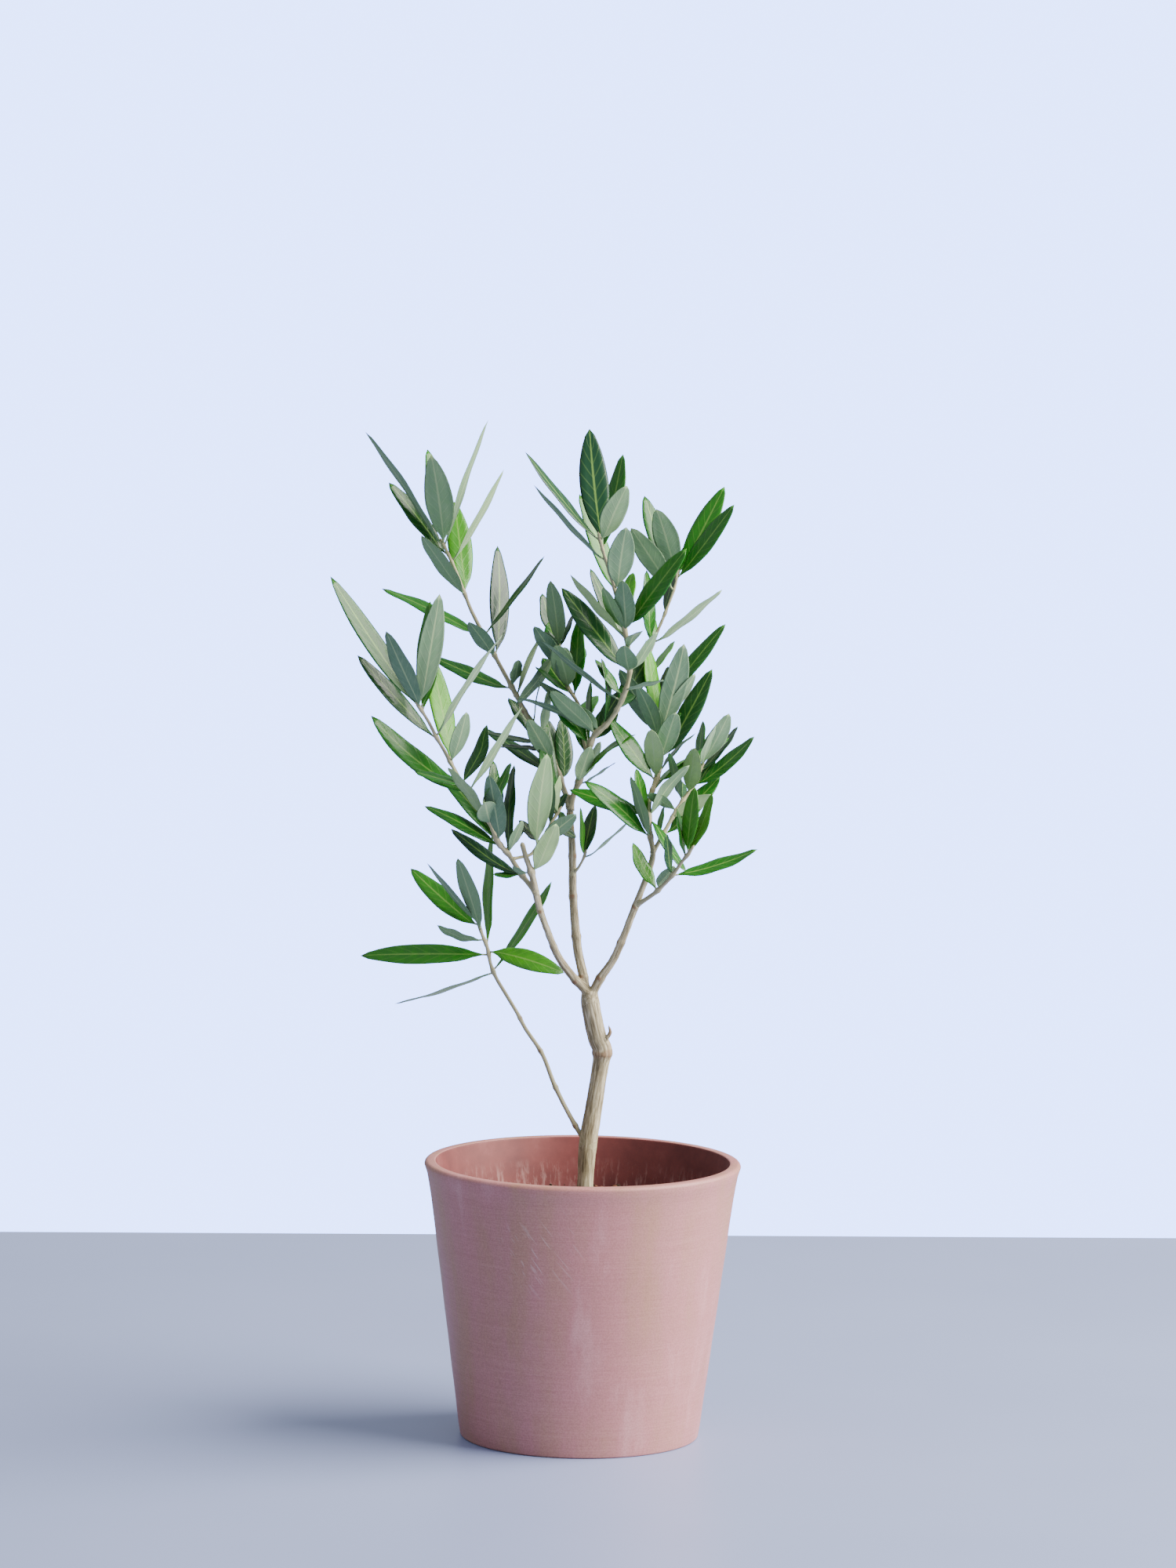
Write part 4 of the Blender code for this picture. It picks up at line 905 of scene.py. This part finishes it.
for name, leaves in leaves_of.items():
    bm = bmesh.new()
    layers = bm.loops.layers.uv.new("blade"), bm.verts.layers.float.new("tone")
    for leaf in leaves:
        add_leaf(bm, leaf, layers, draw)
    bmesh.ops.recalc_face_normals(bm, faces=bm.faces)
    shown_piece(bm, f"{name}_fine", [leaf_above, leaf_below, stalk_green], "leaf", name)
print("leaf pieces:", len(leaves_of))

# %% [markdown]
# ## Bark
# Young olive bark is smooth and thin: pale grey-beige on the trunk, greener on this year's shoots, with fine
# streaks that run along the stem and rust-brown scars where leaves and buds were. The streaks have to follow
# every bend, so each point of the wood is given its place on a straightened stem, as an attribute, and the
# noise is read there.

# %% Bark material
bark, bark_shader = new_material("smooth_young_olive_bark", Roughness=0.72, IOR=1.45)
grain = add_node(bark, "ShaderNodeAttribute", attribute_name="grain").outputs["Vector"]
youth = add_node(bark, "ShaderNodeAttribute", attribute_name="youth").outputs["Fac"]
scar = add_node(bark, "ShaderNodeAttribute", attribute_name="scar").outputs["Fac"]
drawn_out = add_node(bark, "ShaderNodeMapping", {"Vector": grain, "Scale": (1.0, 1.0, 0.09)}).outputs["Vector"]
fibre = add_node(
    bark, "ShaderNodeTexNoise", {"Vector": drawn_out, "Scale": 1 / (1.3 * MM), "Detail": 5.0, "Roughness": 0.65}
)
patches = add_node(bark, "ShaderNodeTexNoise", {"Vector": grain, "Scale": 1 / (9 * MM), "Detail": 4.0})
old_tone = add_node(
    bark, "ShaderNodeValToRGB", {"Fac": fibre.outputs["Fac"]},
    stops=((0.34, "#655a40"), (0.49, "#958a6a"), (0.62, "#c6bc9c")),
)
young_tone = add_node(
    bark, "ShaderNodeValToRGB", {"Fac": fibre.outputs["Fac"]}, stops=((0.3, "#93906a"), (0.7, "#bfb893"))
)
wood_tone = add_node(
    bark, "ShaderNodeMix",
    {"Factor": youth, MIX_A: old_tone.outputs["Color"], MIX_B: young_tone.outputs["Color"]}, data_type="RGBA",
)
patch_share = add_node(
    bark, "ShaderNodeMapRange", {"Value": patches.outputs["Fac"], "From Min": 0.5, "From Max": 0.75, "To Max": 0.4}
)
patched = add_node(
    bark, "ShaderNodeMix",
    {"Factor": patch_share.outputs["Result"], MIX_A: wood_tone.outputs[MIX_COLOUR], MIX_B: "#8f8464"},
    data_type="RGBA",
)
scarred = add_node(
    bark, "ShaderNodeMix", {"Factor": scar, MIX_A: patched.outputs[MIX_COLOUR], MIX_B: "#7d5a3e"}, data_type="RGBA"
)
bark_bump = add_node(
    bark, "ShaderNodeBump", {"Height": fibre.outputs["Fac"], "Strength": 0.55, "Distance": 0.35 * MM}
)
bark.node_tree.links.new(scarred.outputs[MIX_COLOUR], bark_shader.inputs["Base Color"])
bark.node_tree.links.new(bark_bump.outputs["Normal"], bark_shader.inputs["Normal"])

# %% [markdown]
# ## Wood
# Each stem is a tube of rings, wider where leaves sit and at the old joints. The trunk and its limbs grew as
# one, so their tubes are joined by a voxel remesh, which fills the forks as growth does, and then smoothed.
# The thin shoots stay tubes, rooted a little way inside the wood that carries them, with a flared foot.

# %% Build the wood
KNOT_SPACING = 23.0  # mm between old leaf joints on bare wood
FOOT_FLARE = 0.55
OLD_RADIUS, YOUNG_RADIUS = 2.3, 1.1
KNEE_HEIGHT = 219.5
FUSED = ("trunk", "centre_limb", "left_limb", "right_limb")
VOXEL = 0.5 * MM


def ring_of(bm, centre, tangent, side, radius, sides):
    turn = Matrix((side, tangent.cross(side), tangent)).transposed().to_4x4()
    place = Matrix.Translation(centre * MM) @ turn
    return bmesh.ops.create_circle(bm, cap_ends=False, segments=sides, radius=radius * MM, matrix=place)["verts"]


def add_stem(bm, stem, sides, flare):
    """The stem's rings bridged into a closed tube, with its joints and its foot made wider."""
    rings = []
    count = len(stem.centres)
    for i in range(count):
        wider = sum(more * math.exp(-((i - at) * STEP / 1.5) ** 2) for at, more in stem.swellings)
        wider = min(wider, 0.45) + flare * math.exp(-i * STEP / 2.2)
        radius = stem.radii[i] * (1 + wider)
        rings.append(ring_of(bm, stem.centres[i], stem.tangents[i], stem.sides[i], radius, sides))
    end = stem.centres[-1] + 1.6 * stem.tangents[-1]
    rings.append(ring_of(bm, end, stem.tangents[-1], stem.sides[-1], 0.35 * stem.radii[-1], sides))
    for first, second in zip(rings, rings[1:]):
        for j in range(sides):
            k = (j + 1) % sides
            bm.faces.new((first[j], first[k], second[k], second[j]))
    bm.faces.new(rings[0][::-1])
    bm.faces.new(rings[-1])


for name, stem in stems.items():
    spacing = KNOT_SPACING / STEP
    knots = [round(spacing * (k + 0.6)) for k in range(int(len(stem.centres) / spacing))]
    taken = [at for at, _ in stem.swellings]
    stem.scars = [at for at in knots if name != "trunk" and all(abs(at - other) * STEP > 6 for other in taken)]
    stem.swellings += [(at, 0.16 if name in FUSED else 0.32) for at in stem.scars]


def mark_bark(mesh):
    """Gives each point its straightened place, how young its wood is, and how much of a scar it is on."""
    grain_values, youth_values, scar_values = [], [], []
    for vert in mesh.vertices:
        place = vert.co / MM
        _, number, _ = stem_points.find(place)
        name, i = stem_rings[number]
        stem = stems[name]
        off = place - stem.centres[i]
        side, tangent = stem.sides[i], stem.tangents[i]
        along = i * STEP + off.dot(tangent)
        across = Vector((off.dot(side), off.dot(tangent.cross(side))))
        grain_values += [across.x * MM, across.y * MM, (along + 400 * list(ROUTES).index(name)) * MM]
        youth_values.append(1 - smoothstep(YOUNG_RADIUS, OLD_RADIUS, stem.radii[i]))
        scar = 0.0
        for k, at in enumerate(stem.scars):
            facing = Vector((math.cos(1.9 * k + at), math.sin(1.9 * k + at)))
            if abs(along - at * STEP) < 4:
                near = max(abs(across.normalized().dot(facing)), 0.0)
                scar = max(scar, 0.8 * smoothstep(0.75, 0.95, near) * (1 - smoothstep(0.6, 1.6, abs(along - at * STEP))))
        if name == "trunk":
            rough = 1.3 * noise.noise(place / 2.5)
            ring_share = 1 - smoothstep(1.0, 3.4, abs(place.z + rough - KNEE_HEIGHT))
            on_stub = smoothstep(1.0, 4.0, place.x - 11.5) * smoothstep(221, 226, place.z)
            scar = max(scar, 0.55 * ring_share, 0.7 * on_stub)
        scar_values.append(scar)
    mesh.attributes.new("grain", "FLOAT_VECTOR", "POINT").data.foreach_set("vector", grain_values)
    mesh.attributes.new("youth", "FLOAT", "POINT").data.foreach_set("value", youth_values)
    mesh.attributes.new("scar", "FLOAT", "POINT").data.foreach_set("value", scar_values)


ROOTS = 5
ROOT_REACH = 38.0
bm = bmesh.new()
for name in FUSED:
    add_stem(bm, stems[name], 20, 0.0)
add_stem(bm, Stem(DEAD_STUB), 12, 0.2)
for root in range(ROOTS):
    turn = math.tau * (root + 0.2) / ROOTS
    reach = ROOT_REACH * (1 + 0.15 * math.sin(2.3 * root))
    route = [
        (1.4 + reach * share * math.cos(turn), reach * share * math.sin(turn + 0.5 * share), level, radius)
        for share, level, radius in ((0, 112, 3.0), (0.3, 108, 2.5), (0.65, 99, 1.7), (1, 84, 0.8))
    ]
    add_stem(bm, Stem(route), 12, 0.0)
bmesh.ops.recalc_face_normals(bm, faces=bm.faces)
wood = shown_piece(bm, "trunk_and_limbs", [bark], "bark", *FUSED)
fusing = wood.modifiers.new("fuse the forks", "REMESH")
fusing.mode = "VOXEL"
fusing.voxel_size = VOXEL
depsgraph = bpy.context.evaluated_depsgraph_get()
fused_mesh = bpy.data.meshes.new_from_object(wood.evaluated_get(depsgraph), depsgraph=depsgraph)
wood.modifiers.clear()
bm = bmesh.new()
bm.from_mesh(fused_mesh)
for _ in range(3):
    bmesh.ops.smooth_vert(bm, verts=bm.verts, factor=0.5, use_axis_x=True, use_axis_y=True, use_axis_z=True)
bm.normal_update()
shifts = []
for vert in bm.verts:
    place = vert.co / MM
    furrow = noise.noise(Vector((place.x / 1.1, place.y / 1.1, place.z / 9)))
    lump = noise.noise(place / 7)
    shifts.append(vert.normal * (0.12 * furrow + 0.22 * lump) * MM)
for vert, shift in zip(bm.verts, shifts):
    vert.co += shift
bm.to_mesh(fused_mesh)
bm.free()
fused_mesh.shade_smooth()
fused_mesh.materials.clear()
fused_mesh.materials.append(bark)
wood.data = fused_mesh
mark_bark(fused_mesh)
print("trunk and limbs:", len(fused_mesh.polygons), "faces")

for name, stem in stems.items():
    if name in FUSED:
        continue
    bm = bmesh.new()
    add_stem(bm, stem, 12, FOOT_FLARE)
    bmesh.ops.recalc_face_normals(bm, faces=bm.faces)
    shoot = shown_piece(bm, f"{name}_bark", [bark], "bark", name)
    mark_bark(shoot.data)
print("shoots:", len(stems) - len(FUSED))
